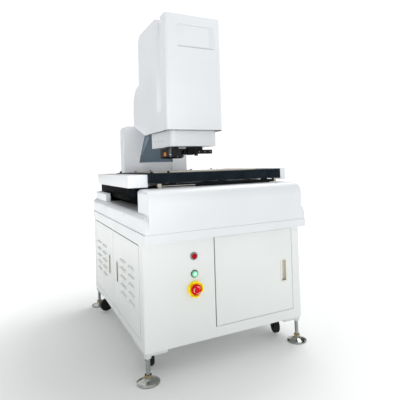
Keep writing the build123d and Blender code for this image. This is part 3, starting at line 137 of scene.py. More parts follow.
def worn_edges(tree, width):
    """Near one in patches along the edges and nought on the flats, for rubbed paint."""
    rounded = node(tree, "ShaderNodeBevel", samples=4)
    rounded.inputs["Radius"].default_value = width
    facet = node(tree, "ShaderNodeNewGeometry")
    closeness = node(tree, "ShaderNodeVectorMath", operation="DOT_PRODUCT")
    tree.links.new(rounded.outputs["Normal"], closeness.inputs[0])
    tree.links.new(facet.outputs["Normal"], closeness.inputs[1])
    edge = to_range(tree, closeness.outputs["Value"], 1.0, 0.0, 0.7, 0.92)
    patches = to_range(tree, noise(tree, 55.0, 5.0), 0.0, 1.0, 0.44, 0.62)
    both = node(tree, "ShaderNodeMath", operation="MULTIPLY")
    tree.links.new(edge, both.inputs[0])
    tree.links.new(patches, both.inputs[1])
    return both.outputs["Value"]


def mixed(tree, factor, base, over):
    """The base colour with another laid over it by a factor."""
    mix = node(tree, "ShaderNodeMix", data_type="RGBA")
    tree.links.new(factor, mix.inputs["Factor"])
    tree.links.new(base, mix.inputs["A"])
    mix.inputs["B"].default_value = (*over, 1.0)
    return mix.outputs["Result"]


def paint(name, low, high, rough=(0.28, 0.36), coat=0.25, peel=900.0, depth=0.000012, rubbed=None,
          specular=0.5):
    """Sprayed paint: slight cloudiness, orange peel, a clear surface and rubbed edges."""
    material, tree, shader = new_material(name)
    colour = blend_colours(tree, noise(tree, 3.5, 4.0), low, high)
    if rubbed:
        colour = mixed(tree, worn_edges(tree, 0.0025), colour, rubbed)
    tree.links.new(colour, shader.inputs["Base Color"])
    smear = noise(tree, 24.0, 5.0)
    tree.links.new(to_range(tree, smear, *rough, 0.3, 0.7), shader.inputs["Roughness"])
    shader.inputs["Specular IOR Level"].default_value = specular
    shader.inputs["Coat Weight"].default_value = coat
    shader.inputs["Coat Roughness"].default_value = 0.1
    bump(tree, shader, noise(tree, peel, 2.0), 0.15, depth)
    return material


def metal(name, low, high, rough, grain, stretch, depth=0.00003):
    """Bare metal with a drawn or ground grain."""
    material, tree, shader = new_material(name)
    lines = noise(tree, grain, 3.0, stretch)
    tree.links.new(blend_colours(tree, lines, low, high), shader.inputs["Base Color"])
    tree.links.new(to_range(tree, lines, *rough), shader.inputs["Roughness"])
    shader.inputs["Metallic"].default_value = 1.0
    bump(tree, shader, lines, 0.3, depth)
    return material


def plastic(name, low, high, rough, glow=None, glow_strength=0.0, grain=1400.0, specular=0.5):
    """Moulded plastic with a fine spark-eroded grain."""
    material, tree, shader = new_material(name)
    tree.links.new(blend_colours(tree, noise(tree, 60.0), low, high), shader.inputs["Base Color"])
    tree.links.new(to_range(tree, noise(tree, 220.0), *rough), shader.inputs["Roughness"])
    shader.inputs["Specular IOR Level"].default_value = specular
    if glow:
        shader.inputs["Emission Color"].default_value = (*glow, 1.0)
        shader.inputs["Emission Strength"].default_value = glow_strength
    bump(tree, shader, noise(tree, grain, 2.0), 0.3, 0.00003)
    return material


def blackened(name, low, high, rough, grain, depth=0.00001, rubbed=None):
    """Blackened metal: it reflects about a hundredth of the light and keeps its edges dark."""
    material, tree, shader = new_material(name)
    colour = blend_colours(tree, noise(tree, 30.0, 5.0), low, high)
    if rubbed:
        colour = mixed(tree, worn_edges(tree, 0.0012), colour, rubbed)
    tree.links.new(colour, shader.inputs["Base Color"])
    tree.links.new(to_range(tree, noise(tree, 90.0, 4.0), *rough, 0.3, 0.7), shader.inputs["Roughness"])
    shader.inputs["Metallic"].default_value = 1.0
    shader.inputs["Specular Tint"].default_value = (0.3, 0.3, 0.3, 1.0)
    bump(tree, shader, noise(tree, grain, 2.0), 0.2, depth)
    return material


def granite(name):
    """Polished black granite: fine light and dark crystals under a clear polish."""
    material, tree, shader = new_material(name)
    place = node(tree, "ShaderNodeTexCoord")
    cells = node(tree, "ShaderNodeTexVoronoi")
    cells.inputs["Scale"].default_value = 650.0
    tree.links.new(place.outputs["Object"], cells.inputs["Vector"])
    grains = blend_colours(tree, cells.outputs["Distance"], (0.018, 0.019, 0.021), (0.003, 0.003, 0.004),
                           0.05, 0.5)
    flecks = blend_colours(tree, noise(tree, 320.0, 6.0), (0.0, 0.0, 0.0), (0.05, 0.053, 0.058),
                           0.62, 0.72)
    mix = node(tree, "ShaderNodeMix", data_type="RGBA", blend_type="ADD")
    mix.inputs["Factor"].default_value = 1.0
    tree.links.new(grains, mix.inputs["A"])
    tree.links.new(flecks, mix.inputs["B"])
    tree.links.new(mix.outputs["Result"], shader.inputs["Base Color"])
    tree.links.new(to_range(tree, noise(tree, 120.0), 0.14, 0.26), shader.inputs["Roughness"])
    shader.inputs["Metallic"].default_value = 1.0
    shader.inputs["Specular Tint"].default_value = (0.3, 0.3, 0.3, 1.0)
    bump(tree, shader, cells.outputs["Distance"], 0.1, 0.00001)
    return material


def threaded(name, pitch, axis):
    """A rolled screw: steel with a dark band of painted shade in its groove, one per pitch along its axis.

    The bands of the wave texture repeat every pi / (10 * scale).
    """
    material, tree, shader = new_material(name)
    place = node(tree, "ShaderNodeTexCoord")
    wave = node(tree, "ShaderNodeTexWave", wave_type="BANDS", bands_direction=axis)
    wave.inputs["Scale"].default_value = math.pi / (10.0 * pitch)
    wave.inputs["Distortion"].default_value = 0.0
    tree.links.new(place.outputs["Object"], wave.inputs["Vector"])
    # Dark steel in each groove: painted shade in the thread's root.
    steel = blend_colours(tree, wave.outputs["Fac"], (0.16, 0.16, 0.16), (0.62, 0.62, 0.6), 0.2, 0.6)
    tree.links.new(steel, shader.inputs["Base Color"])
    shader.inputs["Metallic"].default_value = 1.0
    shader.inputs["Roughness"].default_value = 0.25
    bump(tree, shader, wave.outputs["Fac"], 0.8, 0.0008)
    return material


def footing(name):
    """Chrome on the cup, a brassy hexagon above it and a plated rod."""
    material, tree, shader = new_material(name)
    place = node(tree, "ShaderNodeTexCoord")
    parts = node(tree, "ShaderNodeSeparateXYZ")
    tree.links.new(place.outputs["Object"], parts.inputs["Vector"])
    bands = node(tree, "ShaderNodeValToRGB")
    bands.color_ramp.interpolation = "CONSTANT"
    stops = bands.color_ramp.elements
    stops[0].color = (0.50, 0.51, 0.48, 1.0)
    stops[1].position = cup_top / rod_top
    stops[1].color = (0.46, 0.36, 0.20, 1.0)
    rod_stop = stops.new(hexagon_top / rod_top)
    rod_stop.color = (0.42, 0.45, 0.42, 1.0)
    level = to_range(tree, parts.outputs["Z"], 0.0, 1.0, 0.0, rod_top)
    tree.links.new(level, bands.inputs["Fac"])
    rings = noise(tree, 300.0, 3.0, (0.05, 0.05, 1.0))
    colour = node(tree, "ShaderNodeMix", data_type="RGBA", blend_type="MULTIPLY")
    colour.inputs["Factor"].default_value = 1.0
    tree.links.new(bands.outputs["Color"], colour.inputs["A"])
    tree.links.new(blend_colours(tree, rings, (0.7, 0.7, 0.7), (1.0, 1.0, 1.0)), colour.inputs["B"])
    tree.links.new(colour.outputs["Result"], shader.inputs["Base Color"])
    tree.links.new(to_range(tree, rings, 0.05, 0.16), shader.inputs["Roughness"])
    shader.inputs["Metallic"].default_value = 1.0
    bump(tree, shader, rings, 0.25, 0.00002)
    return material


def scale_housing(name, middle, half):
    """Black housing between two end blocks of plain aluminium, told apart by their place along X."""
    material, tree, shader = new_material(name)
    place = node(tree, "ShaderNodeTexCoord")
    parts = node(tree, "ShaderNodeSeparateXYZ")
    tree.links.new(place.outputs["Object"], parts.inputs["Vector"])
    off = node(tree, "ShaderNodeMath", operation="SUBTRACT")
    off.inputs[1].default_value = middle
    tree.links.new(parts.outputs["X"], off.inputs[0])
    reach = node(tree, "ShaderNodeMath", operation="ABSOLUTE")
    tree.links.new(off.outputs["Value"], reach.inputs[0])
    ends = node(tree, "ShaderNodeMath", operation="GREATER_THAN")
    ends.inputs[1].default_value = half
    tree.links.new(reach.outputs["Value"], ends.inputs[0])
    grain = noise(tree, 120.0, 3.0, (1.0, 6.0, 6.0))
    dark = blend_colours(tree, grain, (0.008, 0.010, 0.012), (0.016, 0.019, 0.022))
    colour = mixed(tree, ends.outputs["Value"], dark, (0.62, 0.55, 0.44))
    tree.links.new(colour, shader.inputs["Base Color"])
    tree.links.new(to_range(tree, grain, 0.28, 0.42), shader.inputs["Roughness"])
    shader.inputs["Metallic"].default_value = 1.0
    shader.inputs["Specular Tint"].default_value = (0.6, 0.6, 0.6, 1.0)
    bump(tree, shader, grain, 0.2, 0.00002)
    return material


# Heights above the floor where a foot's cup, its hexagon and its rod end
cup_top = 0.0201
hexagon_top = 0.0301
rod_top = 0.134

# Middle and half length along X of the scale's housing without its end blocks
scale_middle = 0.0105
scale_half = 0.2605

white_sheet = paint("white_sheet", (0.80, 0.815, 0.805), (0.83, 0.84, 0.83), (0.3, 0.4), 0.1,
                    specular=0.25)
white_cover = paint("white_cover", (0.76, 0.77, 0.795), (0.79, 0.80, 0.825), (0.3, 0.4), 0.15, 1100.0,
                    specular=0.35)
grey_steel = paint("grey_steel", (0.66, 0.68, 0.67), (0.72, 0.74, 0.73), (0.4, 0.5), 0.0, 700.0)
slate = paint("slate_paint", (0.15, 0.205, 0.26), (0.18, 0.235, 0.29), (0.38, 0.5), 0.0, 420.0, 0.00012,
              rubbed=(0.3, 0.34, 0.37), specular=0.25)
black_plate = blackened("black_plate", (0.010, 0.015, 0.019), (0.016, 0.022, 0.027), (0.3, 0.42), 1600.0,
                        rubbed=(0.08, 0.085, 0.09))
black_granite = granite("black_granite")
brushed = metal("brushed_steel", (0.60, 0.58, 0.53), (0.78, 0.75, 0.69), (0.24, 0.4), 60.0, (1.0, 1.0, 14.0))
bright_ground = metal("ground_steel", (0.50, 0.51, 0.52), (0.66, 0.66, 0.66), (0.16, 0.3), 80.0,
                      (6.0, 1.0, 1.0))
anodised = metal("anodised_aluminium", (0.60, 0.57, 0.50), (0.72, 0.69, 0.62), (0.28, 0.42), 90.0,
                 (1.0, 6.0, 1.0))
foot_finish = footing("foot_metals")
scale_finish = scale_housing("scale_housing", scale_middle, scale_half)
black_plastic = plastic("black_plastic", (0.004, 0.004, 0.0045), (0.009, 0.009, 0.0095), (0.32, 0.45),
                        specular=0.22)
black_anodised = plastic("black_anodised", (0.004, 0.0045, 0.005), (0.010, 0.011, 0.012), (0.24, 0.38),
                         grain=900.0, specular=0.3)
wheel_plastic = plastic("wheel_plastic", (0.006, 0.006, 0.006), (0.016, 0.016, 0.016), (0.5, 0.65),
                        specular=0.25)
rubber = plastic("pad_rubber", (0.012, 0.012, 0.012), (0.025, 0.025, 0.025), (0.7, 0.85), grain=400.0,
                 specular=0.2)
red_lens = plastic("red_lens", (0.30, 0.002, 0.006), (0.40, 0.004, 0.010), (0.10, 0.18),
                   (0.5, 0.004, 0.01), 0.1, specular=0.05)
# The yellow guard is no lamp: its faint yellow emission is a painted glow that brightens it.
yellow_with_painted_glow = plastic("yellow_guard_painted_glow", (0.97, 0.74, 0.004), (1.0, 0.82, 0.006), (0.28, 0.4),
                 (1.0, 0.8, 0.0), 0.10, specular=0.2)
red_mushroom = plastic("red_mushroom", (0.62, 0.006, 0.008), (0.74, 0.010, 0.012), (0.25, 0.35),
                       specular=0.1)

# The lit button: pale in the middle of its face and green towards the rim
lit_green, green_tree, green_shader = new_material("lit_green_cap")
green_place = node(green_tree, "ShaderNodeTexCoord")
button_low, button_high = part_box("start_button")
button_middle = [(low + high) / 2 for low, high in zip(button_low, button_high)]
from_middle = node(green_tree, "ShaderNodeVectorMath", operation="DISTANCE")
from_middle.inputs[1].default_value = (button_middle[0], button_low[1], button_middle[2])
green_tree.links.new(green_place.outputs["Object"], from_middle.inputs[0])
glow_edge = to_range(green_tree, from_middle.outputs["Value"], 0.0, 1.0, 0.002, 0.0095)
glow = blend_colours(green_tree, glow_edge, (0.62, 1.0, 0.80), (0.02, 0.62, 0.22), 0.1, 0.9)
green_tree.links.new(glow, green_shader.inputs["Base Color"])
green_tree.links.new(glow, green_shader.inputs["Emission Color"])
green_shader.inputs["Emission Strength"].default_value = 0.55
green_rough = to_range(green_tree, noise(green_tree, 220.0), 0.12, 0.22)
green_tree.links.new(green_rough, green_shader.inputs["Roughness"])
bump(green_tree, green_shader, noise(green_tree, 1400.0, 2.0), 0.2, 0.00002)

y_thread = threaded("y_thread", 0.01, "Y")
x_thread = threaded("x_thread", 0.005, "X")
z_thread = threaded("z_thread", 0.005, "Z")

glass, glass_tree, glass_shader = new_material("stage_glass_clear")
glass_shader.inputs["Transmission Weight"].default_value = 1.0
glass_shader.inputs["IOR"].default_value = 1.46
glass_tint = blend_colours(glass_tree, noise(glass_tree, 4.0), (0.90, 0.96, 0.94), (0.95, 0.98, 0.97))
glass_tree.links.new(glass_tint, glass_shader.inputs["Base Color"])
glass_rough = to_range(glass_tree, noise(glass_tree, 6.0), 0.0, 0.015)
glass_tree.links.new(glass_rough, glass_shader.inputs["Roughness"])

finishes = {
    white_sheet: "cabinet_body rear_panel front_door side_door_front side_door_rear",
    white_cover: "lower_band upper_housing drive_cover end_cover column_cover rear_head_cover "
                 "front_head_cover lower_head_box",
    grey_steel: "machine_frame door_pivots control_box",
    slate: "column_frame",
    black_plate: "stage_plate saddle axis_motors x_motor z_slide guard_strips",
    black_granite: "granite_base",
    brushed: "door_pull side_handle_front side_handle_rear",
    bright_ground: "guide_rails saddle_carriages x_rails",
    anodised: "glass_frame",
    scale_finish: "linear_scale",
    black_plastic: "switch_bodies stage_knobs side_sensor power_inlet",
    black_anodised: "ring_light zoom_camera light_source",
    glass: "stage_glass",
    red_lens: "lamp_lens",
    lit_green: "start_button",
    yellow_with_painted_glow: "estop_guard",
    red_mushroom: "estop_button",
    rubber: "isolation_pads",
    y_thread: "y_screw",
    x_thread: "x_screw",
    z_thread: "z_screw",
}
corners = ("front_left", "front_right", "rear_left", "rear_right")
finishes[foot_finish] = " ".join("foot_" + corner for corner in corners)
finishes[black_plastic] += " " + " ".join("caster_fork_" + corner for corner in corners)
finishes[wheel_plastic] = " ".join("caster_wheel_" + corner for corner in corners)
for material, names in finishes.items():
    for name in names.split():
        mesh = nodes[name].data
        mesh.materials.clear()
        mesh.materials.append(material)


# Small pieces that the solids don't carry; the cabinet's front face lies this far before the origin
cabinet_front = 479.0


def mm(x, y, z):
    """A point given in X, Y behind the cabinet's front face, and Z, in millimetres."""
    return Vector((x / 1000.0, (y - cabinet_front) / 1000.0, z / 1000.0))


def frame_at(place, out, up=(0.0, 0.0, 1.0)):
    """A matrix whose Z points out of a surface and whose Y points as nearly up as it can."""
    z = Vector(out).normalized()
    y = Vector(up) - Vector(up).dot(z) * z
    y.normalize()
    x = y.cross(z)
    return Matrix.Translation(place) @ Matrix((x, y, z)).transposed().to_4x4()


def piece_from(name, build, material, body, smooth=True, turn_out=True):
    """Makes one piece from a function that fills a bmesh; turn_out makes its faces look outwards."""
    data = bpy.data.meshes.new(name)
    work = bmesh.new()
    build(work)
    if turn_out:
        bmesh.ops.recalc_face_normals(work, faces=work.faces)
    work.to_mesh(data)
    work.free()
    made = bpy.data.objects.new(name, data)
    data.materials.append(material)
    bpy.context.scene.collection.objects.link(made)
    if smooth:
        data.shade_smooth()
        data.set_sharp_from_angle(angle=math.radians(35))
        weighted = made.modifiers.new("weighted_normals", "WEIGHTED_NORMAL")
        weighted.keep_sharp = True
    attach(made, body)
    return made


def join_rings(work, rings, ends=True):
    """Faces from ring to ring, with both ends closed, or back to the first ring without ends."""
    count = len(rings[0])
    for lower, upper in zip(rings, rings[1:] if ends else rings[1:] + rings[:1]):
        for step in range(count):
            after = (step + 1) % count
            work.faces.new((lower[step], lower[after], upper[after], upper[step]))
    if ends:
        work.faces.new(rings[0])
        work.faces.new(list(reversed(rings[-1])))


def lathe(work, profile, place, segments=32, ends=True):
    """A turned form from radius and height pairs in millimetres; its axis is the matrix's Z."""
    rings = []
    for radius, height in profile:
        ring = []
        for step in range(segments):
            angle = 2 * math.pi * step / segments
            local = Vector((radius * math.cos(angle), radius * math.sin(angle), height)) / 1000.0
            ring.append(work.verts.new(place @ local))
        rings.append(ring)
    join_rings(work, rings, ends)


def cap_screw(work, place, radius=2.6, height=2.4):
    """A cylinder-head screw with a socket in its rounded head."""
    socket = radius * 0.52
    lathe(work, [(radius, 0), (radius, height * 0.8), (radius * 0.88, height), (socket, height),
                 (socket * 0.95, height * 0.35), (0.05, height * 0.3)], place, 18)


def pan_screw(work, place, radius=3.4):
    """A domed screw head with a shallow cross recess drawn as a dimple."""
    lathe(work, [(radius, 0), (radius * 0.97, 0.6), (radius * 0.8, 1.2), (radius * 0.45, 1.6),
                 (radius * 0.3, 1.2), (0.05, 0.9)], place, 18)


def rounded_plate(work, width, height, thickness, corner, place, bevel=0.4):
    """A plate with rounded corners and a softened front edge, from its back face outwards."""
    def outline(inset, level):
        ring = []
        for cx, cy, start in ((1, 1, 0), (-1, 1, 90), (-1, -1, 180), (1, -1, 270)):
            for step in range(6):
                angle = math.radians(start + 90 * step / 5)
                x = cx * (width / 2 - corner) + (corner - inset) * math.cos(angle)
                y = cy * (height / 2 - corner) + (corner - inset) * math.sin(angle)
                ring.append(work.verts.new(place @ (Vector((x, y, level)) / 1000.0)))
        return ring
    join_rings(work, [outline(0.0, 0.0), outline(0.0, thickness - bevel), outline(bevel, thickness)])


steel_bits = metal("screw_steel", (0.35, 0.35, 0.34), (0.5, 0.5, 0.48), (0.25, 0.4), 200.0,
                   (1.0, 1.0, 1.0))
dark_bits = plastic("dark_bits", (0.01, 0.01, 0.011), (0.02, 0.02, 0.022), (0.35, 0.5))
white_print = plastic("white_print", (0.78, 0.78, 0.76), (0.86, 0.86, 0.84), (0.35, 0.5))
amber = plastic("amber_lens", (0.34, 0.12, 0.02), (0.52, 0.22, 0.05), (0.1, 0.2), (0.9, 0.3, 0.05), 0.12,
                specular=0.2)
white_lens = plastic("ring_led_lens", (0.80, 0.82, 0.80), (0.92, 0.93, 0.92), (0.1, 0.2),
                     (0.8, 0.9, 1.0), 0.15)
blue_mark = plastic("blue_lens", (0.01, 0.04, 0.12), (0.02, 0.07, 0.18), (0.15, 0.25),
                    (0.05, 0.2, 0.9), 0.04)
plug_grey = plastic("plug_grey", (0.40, 0.43, 0.43), (0.48, 0.5, 0.5), (0.3, 0.4))

outward = (0.0, -1.0, 0.0)
upward = (0.0, 0.0, 1.0)
backward = (0.0, 1.0, 0.0)


def mushroom_height_at(radius):
    """Height of the emergency stop's face over its underside at a distance from its axis."""
    points = [(0.0, 16.0), (12.5, 15.0), (17.5, 13.0), (20.5, 9.0)]
    for (r0, h0), (r1, h1) in zip(points, points[1:]):
        if radius <= r1:
            return h0 + (h1 - h0) * (radius - r0) / (r1 - r0)
    return 9.0


def arrow_ring(work):
    """Three curved arrows that show which way the mushroom turns to be released."""
    place = frame_at(mm(-150.0, -9.0, 313.0), outward)
    middle_radius = 13.0
    steps = 12
    shaft = 0.68
    sweep = math.radians(78)
    for turn_step in range(3):
        start = math.radians(90 + 120 * turn_step)
        rows = []
        for step in range(steps + 1):
            share = step / steps
            angle = start - sweep * share
            half = 1.3 if share < shaft else 3.4 * (1 - share) / (1 - shaft) + 0.02
            row = []
            for radius in (middle_radius - half, middle_radius + half):
                height = mushroom_height_at(radius) + 0.12
                point = Vector((radius * math.cos(angle), radius * math.sin(angle), height)) / 1000.0
                row.append(work.verts.new(place @ point))
            rows.append(row)
        for lower, upper in zip(rows, rows[1:]):
            work.faces.new((lower[0], lower[1], upper[1], upper[0]))


piece_from("estop_arrows", arrow_ring, white_print, "estop_button", smooth=False)


def bezel_rings(work):
    """Chromed trim rings round the lamp and the button."""
    for height in (437.0, 370.0):
        place = frame_at(mm(-150.0, -4.0, height), outward)
        lathe(work, [(13.2, -0.6), (13.2, 0.5), (12.4, 1.1), (11.2, 1.1), (10.7, 0.3), (10.7, -0.6)],
              place, 48, ends=False)


piece_from("bezel_trim", bezel_rings, steel_bits, "machine")


def housing_plugs(work):
    """Push-in plugs over the fixing screws on both sides of the upper housing."""
    for side in (-1, 1):
        for y in (264.0, 640.0, 900.0):
            place = frame_at(mm(side * 350.0, y, 584.0), (side, 0.0, 0.0))
            lathe(work, [(7.0, -0.5), (7.0, 0.6), (6.2, 1.3), (4.0, 1.6), (0.05, 1.7)], place, 28)


piece_from("housing_plugs", housing_plugs, white_cover, "machine")


def box_dots(work):
    """Four small holes' plugs on each side wall of the moving box."""
    for side in (-1, 1):
        for y, z in ((540.5, 905.0), (492.6, 905.0), (448.3, 903.6), (415.9, 901.5)):
            place = frame_at(mm(side * 115.0, y, z), (side, 0.0, 0.0))
            lathe(work, [(5.0, -0.4), (5.0, 0.2), (4.2, 0.45), (0.05, 0.5)], place, 20)


piece_from("box_side_dots", box_dots, plug_grey, "vertical_slide")


lens_x = -70.0
lens_y = 430.0


def amber_window(work):
    """An amber pane let into the drum of the ring light, with its own rounded rim."""
    out = Vector((-46.0, -35.3, 0.0)).normalized()
    spot = Vector((lens_x, lens_y, 838.0)) + out * 57.0
    rounded_plate(work, 13.0, 20.0, 2.4, 6.0, frame_at(mm(*spot), out))


piece_from("amber_window", amber_window, amber, "vertical_slide")


def blue_windows(work):
    """Two small blue panes in the drum, one in front and one at its left."""
    for x, y, height, width, tall, corner in ((-25.0, -52.0, 836.0, 12.0, 3.0, 1.2),
                                              (-52.0, -25.0, 829.0, 8.0, 2.6, 1.1)):
        out = Vector((x, y, 0.0)).normalized()
        spot = Vector((lens_x, lens_y, height)) + out * 57.2
        rounded_plate(work, width, tall, 1.6, corner, frame_at(mm(*spot), out))


piece_from("status_windows", blue_windows, blue_mark, "vertical_slide")


def ring_lamps(work):
    """Two rows of small lamps inside the mouth of the ring light, tilted to the lens axis."""
    for count, radius, height in ((24, 37.0, 822.5), (18, 30.0, 825.8)):
        for step in range(count):
            angle = 2 * math.pi * step / count
            across = Vector((math.cos(angle), math.sin(angle), 0.0))
            out = (-across * 0.45 + Vector((0.0, 0.0, -1.0))).normalized()
            spot = Vector((lens_x, lens_y, height)) + across * radius
            lathe(work, [(2.2, -2.0), (2.2, 0.6), (1.9, 1.5), (1.2, 2.2), (0.05, 2.5)],
                  frame_at(mm(*spot), out, across), 12)


piece_from("ring_lamps", ring_lamps, white_lens, "vertical_slide")


def optics_screws(work):
    """Two clamp screws of the ring light and three in the second sensor's bar."""
    for x, y, z in ((-31.7, 384.8, 857.0), (-62.9, 371.2, 824.5)):
        out = Vector((x - lens_x, y - lens_y, 0.0)).normalized()
        cap_screw(work, frame_at(mm(x, y, z), out), 2.4, 2.0)
    for x in (60.0, 90.0, 118.0):
        cap_screw(work, frame_at(mm(x, 392.0, 848.0), outward), 2.6, 1.8)


piece_from("optics_screws", optics_screws, steel_bits, "vertical_slide")


def plate_screws(work):
    """Sunk socket screws along the rims of the stage plate."""
    plate_top = 755.0
    head = [(4.6, 0.02), (4.2, 0.10), (2.6, 0.12), (0.05, 0.06)]
    across = [(x, y) for x in range(-280, 281, 70) for y in (90.0, 142.0, 510.0, 545.0)]
    along = [(x, y) for y in range(190, 470, 56) for x in (-270.0, 270.0)]
    for x, y in across + along:
        lathe(work, head, frame_at(mm(x, y, plate_top), upward, backward), 18)


piece_from("stage_screws", plate_screws, steel_bits, "stage")


def glass_clips(work):
    """Screws that hold the bright glass frame down."""
    frame_top = 759.0
    across = [(x, y) for x in range(-200, 201, 80) for y in (168.5, 481.5)]
    along = [(x, y) for y in (230.0, 325.0, 420.0) for x in (-236.5, 236.5)]
    for x, y in across + along:
        cap_screw(work, frame_at(mm(x, y, frame_top), upward, backward), 2.2, 1.4)


piece_from("glass_frame_screws", glass_clips, steel_bits, "stage")


def cover_screws(work):
    """Screws on the outside of the thin stage cover and at the ends of the scale."""
    for y in (90.0, 325.0, 560.0):
        pan_screw(work, frame_at(mm(331.0, y, 745.0), (1.0, 0.0, 0.0)), 2.8)
    for x in (-256.0, 277.0):
        cap_screw(work, frame_at(mm(x, 62.0, 706.0), outward), 2.0, 1.2)


piece_from("stage_cover_screws", cover_screws, steel_bits, "stage")


def rail_screws(work):
    """Counterbored screws along the guide rails."""
    rail_top = 671.0
    for y in range(240, 850, 60):
        for x in (-220.0, 220.0):
            lathe(work, [(4.0, 0.02), (3.6, 0.12), (2.2, 0.10), (0.05, 0.05)],
                  frame_at(mm(x, y, rail_top), upward, backward), 16)


piece_from("rail_screws", rail_screws, dark_bits, "machine")


def back_screws(work):
    """Screws of the removable rear sheet and of the column cover."""
    for x in (-285.0, -95.0, 95.0, 285.0):
        for z in (140.0, 476.0):
            pan_screw(work, frame_at(mm(x, 982.0, z), backward), 3.6)
    for x in (-285.0, 285.0):
        pan_screw(work, frame_at(mm(x, 982.0, 308.0), backward), 3.6)
    for x in (-165.0, 165.0):
        for z in (700.0, 840.0, 980.0):
            pan_screw(work, frame_at(mm(x, 970.0, z), backward), 3.2)


piece_from("back_screws", back_screws, steel_bits, "machine")


def corner_bolts(work):
    """Hexagon bolts that hold the corner plates to the welded frame."""
    for sx in (-1, 1):
        for y in (60.0, 90.0, 182.0, 798.0, 890.0, 920.0):
            for x in (272.0, 336.0):
                place = frame_at(mm(sx * x, y, 100.0), (0.0, 0.0, -1.0), backward)
                lathe(work, [(7.0, 0.0), (7.0, 0.9), (6.0, 1.0), (6.0, 4.4), (5.2, 5.0), (0.05, 5.0)],
                      place, 6)


piece_from("corner_bolts", corner_bolts, steel_bits, "machine")


def head_screws(work):
    """Fixing screws along both sides of the rear head cover."""
    for side in (-1, 1):
        for y, z in ((455.0, 975.0), (455.0, 1220.0), (455.0, 1455.0), (700.0, 1300.0)):
            pan_screw(work, frame_at(mm(side * 137.0, y, z), (side, 0.0, 0.0)), 2.6)


piece_from("head_screws", head_screws, white_cover, "machine")


def sensor_bracket(work):
    """The arm that carries the second sensor beside the ring light, with its two clamp bosses."""
    rounded_plate(work, 26.0, 30.0, 22.0, 3.0, frame_at(mm(-3.0, 424.0, 850.0), outward), 1.0)
    for x in (-10.0, 4.0):
        lathe(work, [(3.6, 0.0), (3.6, 2.6), (2.9, 3.2), (0.05, 3.2)],
              frame_at(mm(x, 402.0, 858.0), outward), 20)


piece_from("sensor_bracket", sensor_bracket, black_anodised, "vertical_slide")


def shade_strip_under_covers():
    """A thin dark rod along the open foot of the head covers: painted shade that stands in for the shaded gap
    under their edge.
    """
    cover_foot = 945.2
    half_path = [(-135.6, 590.0), (-135.6, 434.5), (-131.6, 424.0), (-131.6, 350.0), (-137.0, 348.0),
                 (-137.0, 299.0), (-132.5, 290.5), (-124.0, 286.6)]
    path = half_path + [(-x, y) for x, y in reversed(half_path)]
    data = bpy.data.curves.new("cover_gap_painted_shade", "CURVE")
    data.dimensions = "3D"
    data.bevel_depth = 0.0017
    data.bevel_resolution = 3
    data.use_fill_caps = True
    spline = data.splines.new("POLY")
    spline.points.add(len(path) - 1)
    for point, (x, y) in zip(spline.points, path):
        point.co = (*mm(x, y, cover_foot), 1.0)
    made = bpy.data.objects.new("cover_gap_painted_shade", data)
    data.materials.append(painted_gap_shade)
    bpy.context.scene.collection.objects.link(made)
    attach(made, "machine")


# Dark teal colour of the strip under the head covers: painted shade of the gap beneath them.
painted_gap_shade = plastic("painted_gap_shade", (0.014, 0.024, 0.026), (0.026, 0.040, 0.042), (0.5, 0.65),
                      grain=600.0, specular=0.15)
shade_strip_under_covers()


# Head covers: the front shell, the rear shell and the groove that runs up and over between them.
# The front cover is this deep and its roof this much lower. The groove's floor ends at groove_back,
# where the rear cover's bevel starts, and is narrower above foot_top than at its foot, where the
# second sensor passes.
front_low, front_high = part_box("front_head_cover")
rear_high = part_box("rear_head_cover")[1]
cover_depth = 0.065
cover_drop = 0.015
groove_back = front_high[1] + 0.004
bevel_back = groove_back + 0.010
groove_half = 0.121
foot_half = 0.1358
groove_top = rear_high[2] - 0.024
foot_top = 1.034
skin = 0.003
same_place = 0.000001


def cut_copy(work, name, y, keep_back):
    """A node's own shape with everything before or behind a plane across Y taken off."""
    work.from_mesh(nodes[name].data)
    everything = work.verts[:] + work.edges[:] + work.faces[:]
    away = outward if keep_back else backward
    bmesh.ops.bisect_plane(work, geom=everything, plane_co=(0.0, y, 0.0), plane_no=away,
                           clear_outer=True)


def front_shell(work):
    """The front cover, cut off at the groove, its roof lower than that of the rear cover."""
    cut_copy(work, "front_head_cover", front_low[1] + cover_depth, keep_back=False)
    for vertex in work.verts:
        if vertex.co.z > front_high[2] - 2 * skin:
            vertex.co.z -= cover_drop


def rear_shell(work):
    """The rear cover, cut off where its bevel starts."""
    cut_copy(work, "rear_head_cover", bevel_back, keep_back=True)


def groove(work):
    """One bent skin: flange behind the front cover, floor of the groove, bevel of the rear cover."""
    flange = front_low[1] + cover_depth
    wide = front_high[0]
    rear_half = rear_high[0]
    lid = front_high[2] - cover_drop

    def section(half):
        """The profile's Y, its X on a flank and its Z over the top, outside first and then inside."""
        return [(flange, wide, lid), (flange, half, groove_top), (groove_back, half, groove_top),
                (bevel_back, rear_half, rear_high[2]),
                (bevel_back, rear_half - skin, rear_high[2] - skin),
                (groove_back + skin / 2, half - skin, groove_top - skin),
                (flange - skin, half - skin, groove_top - skin),
                (flange - skin, wide - skin, lid - skin)]

    def station(side, half, level=None):
        """The profile's vertices on one flank at a level, or at its top corner."""
        row = []
        for y, x, top in section(half):
            row.append(work.verts.new((side * x, y, top if level is None else level)))
        return row

    stops = [(foot_half, front_low[2]), (foot_half, foot_top), (groove_half, foot_top), (groove_half, None)]
    join_rings(work, [station(-1, *stop) for stop in stops] + [station(1, *stop) for stop in reversed(stops)])
    bmesh.ops.remove_doubles(work, verts=work.verts, dist=same_place)
    bmesh.ops.dissolve_degenerate(work, edges=work.edges, dist=same_place)


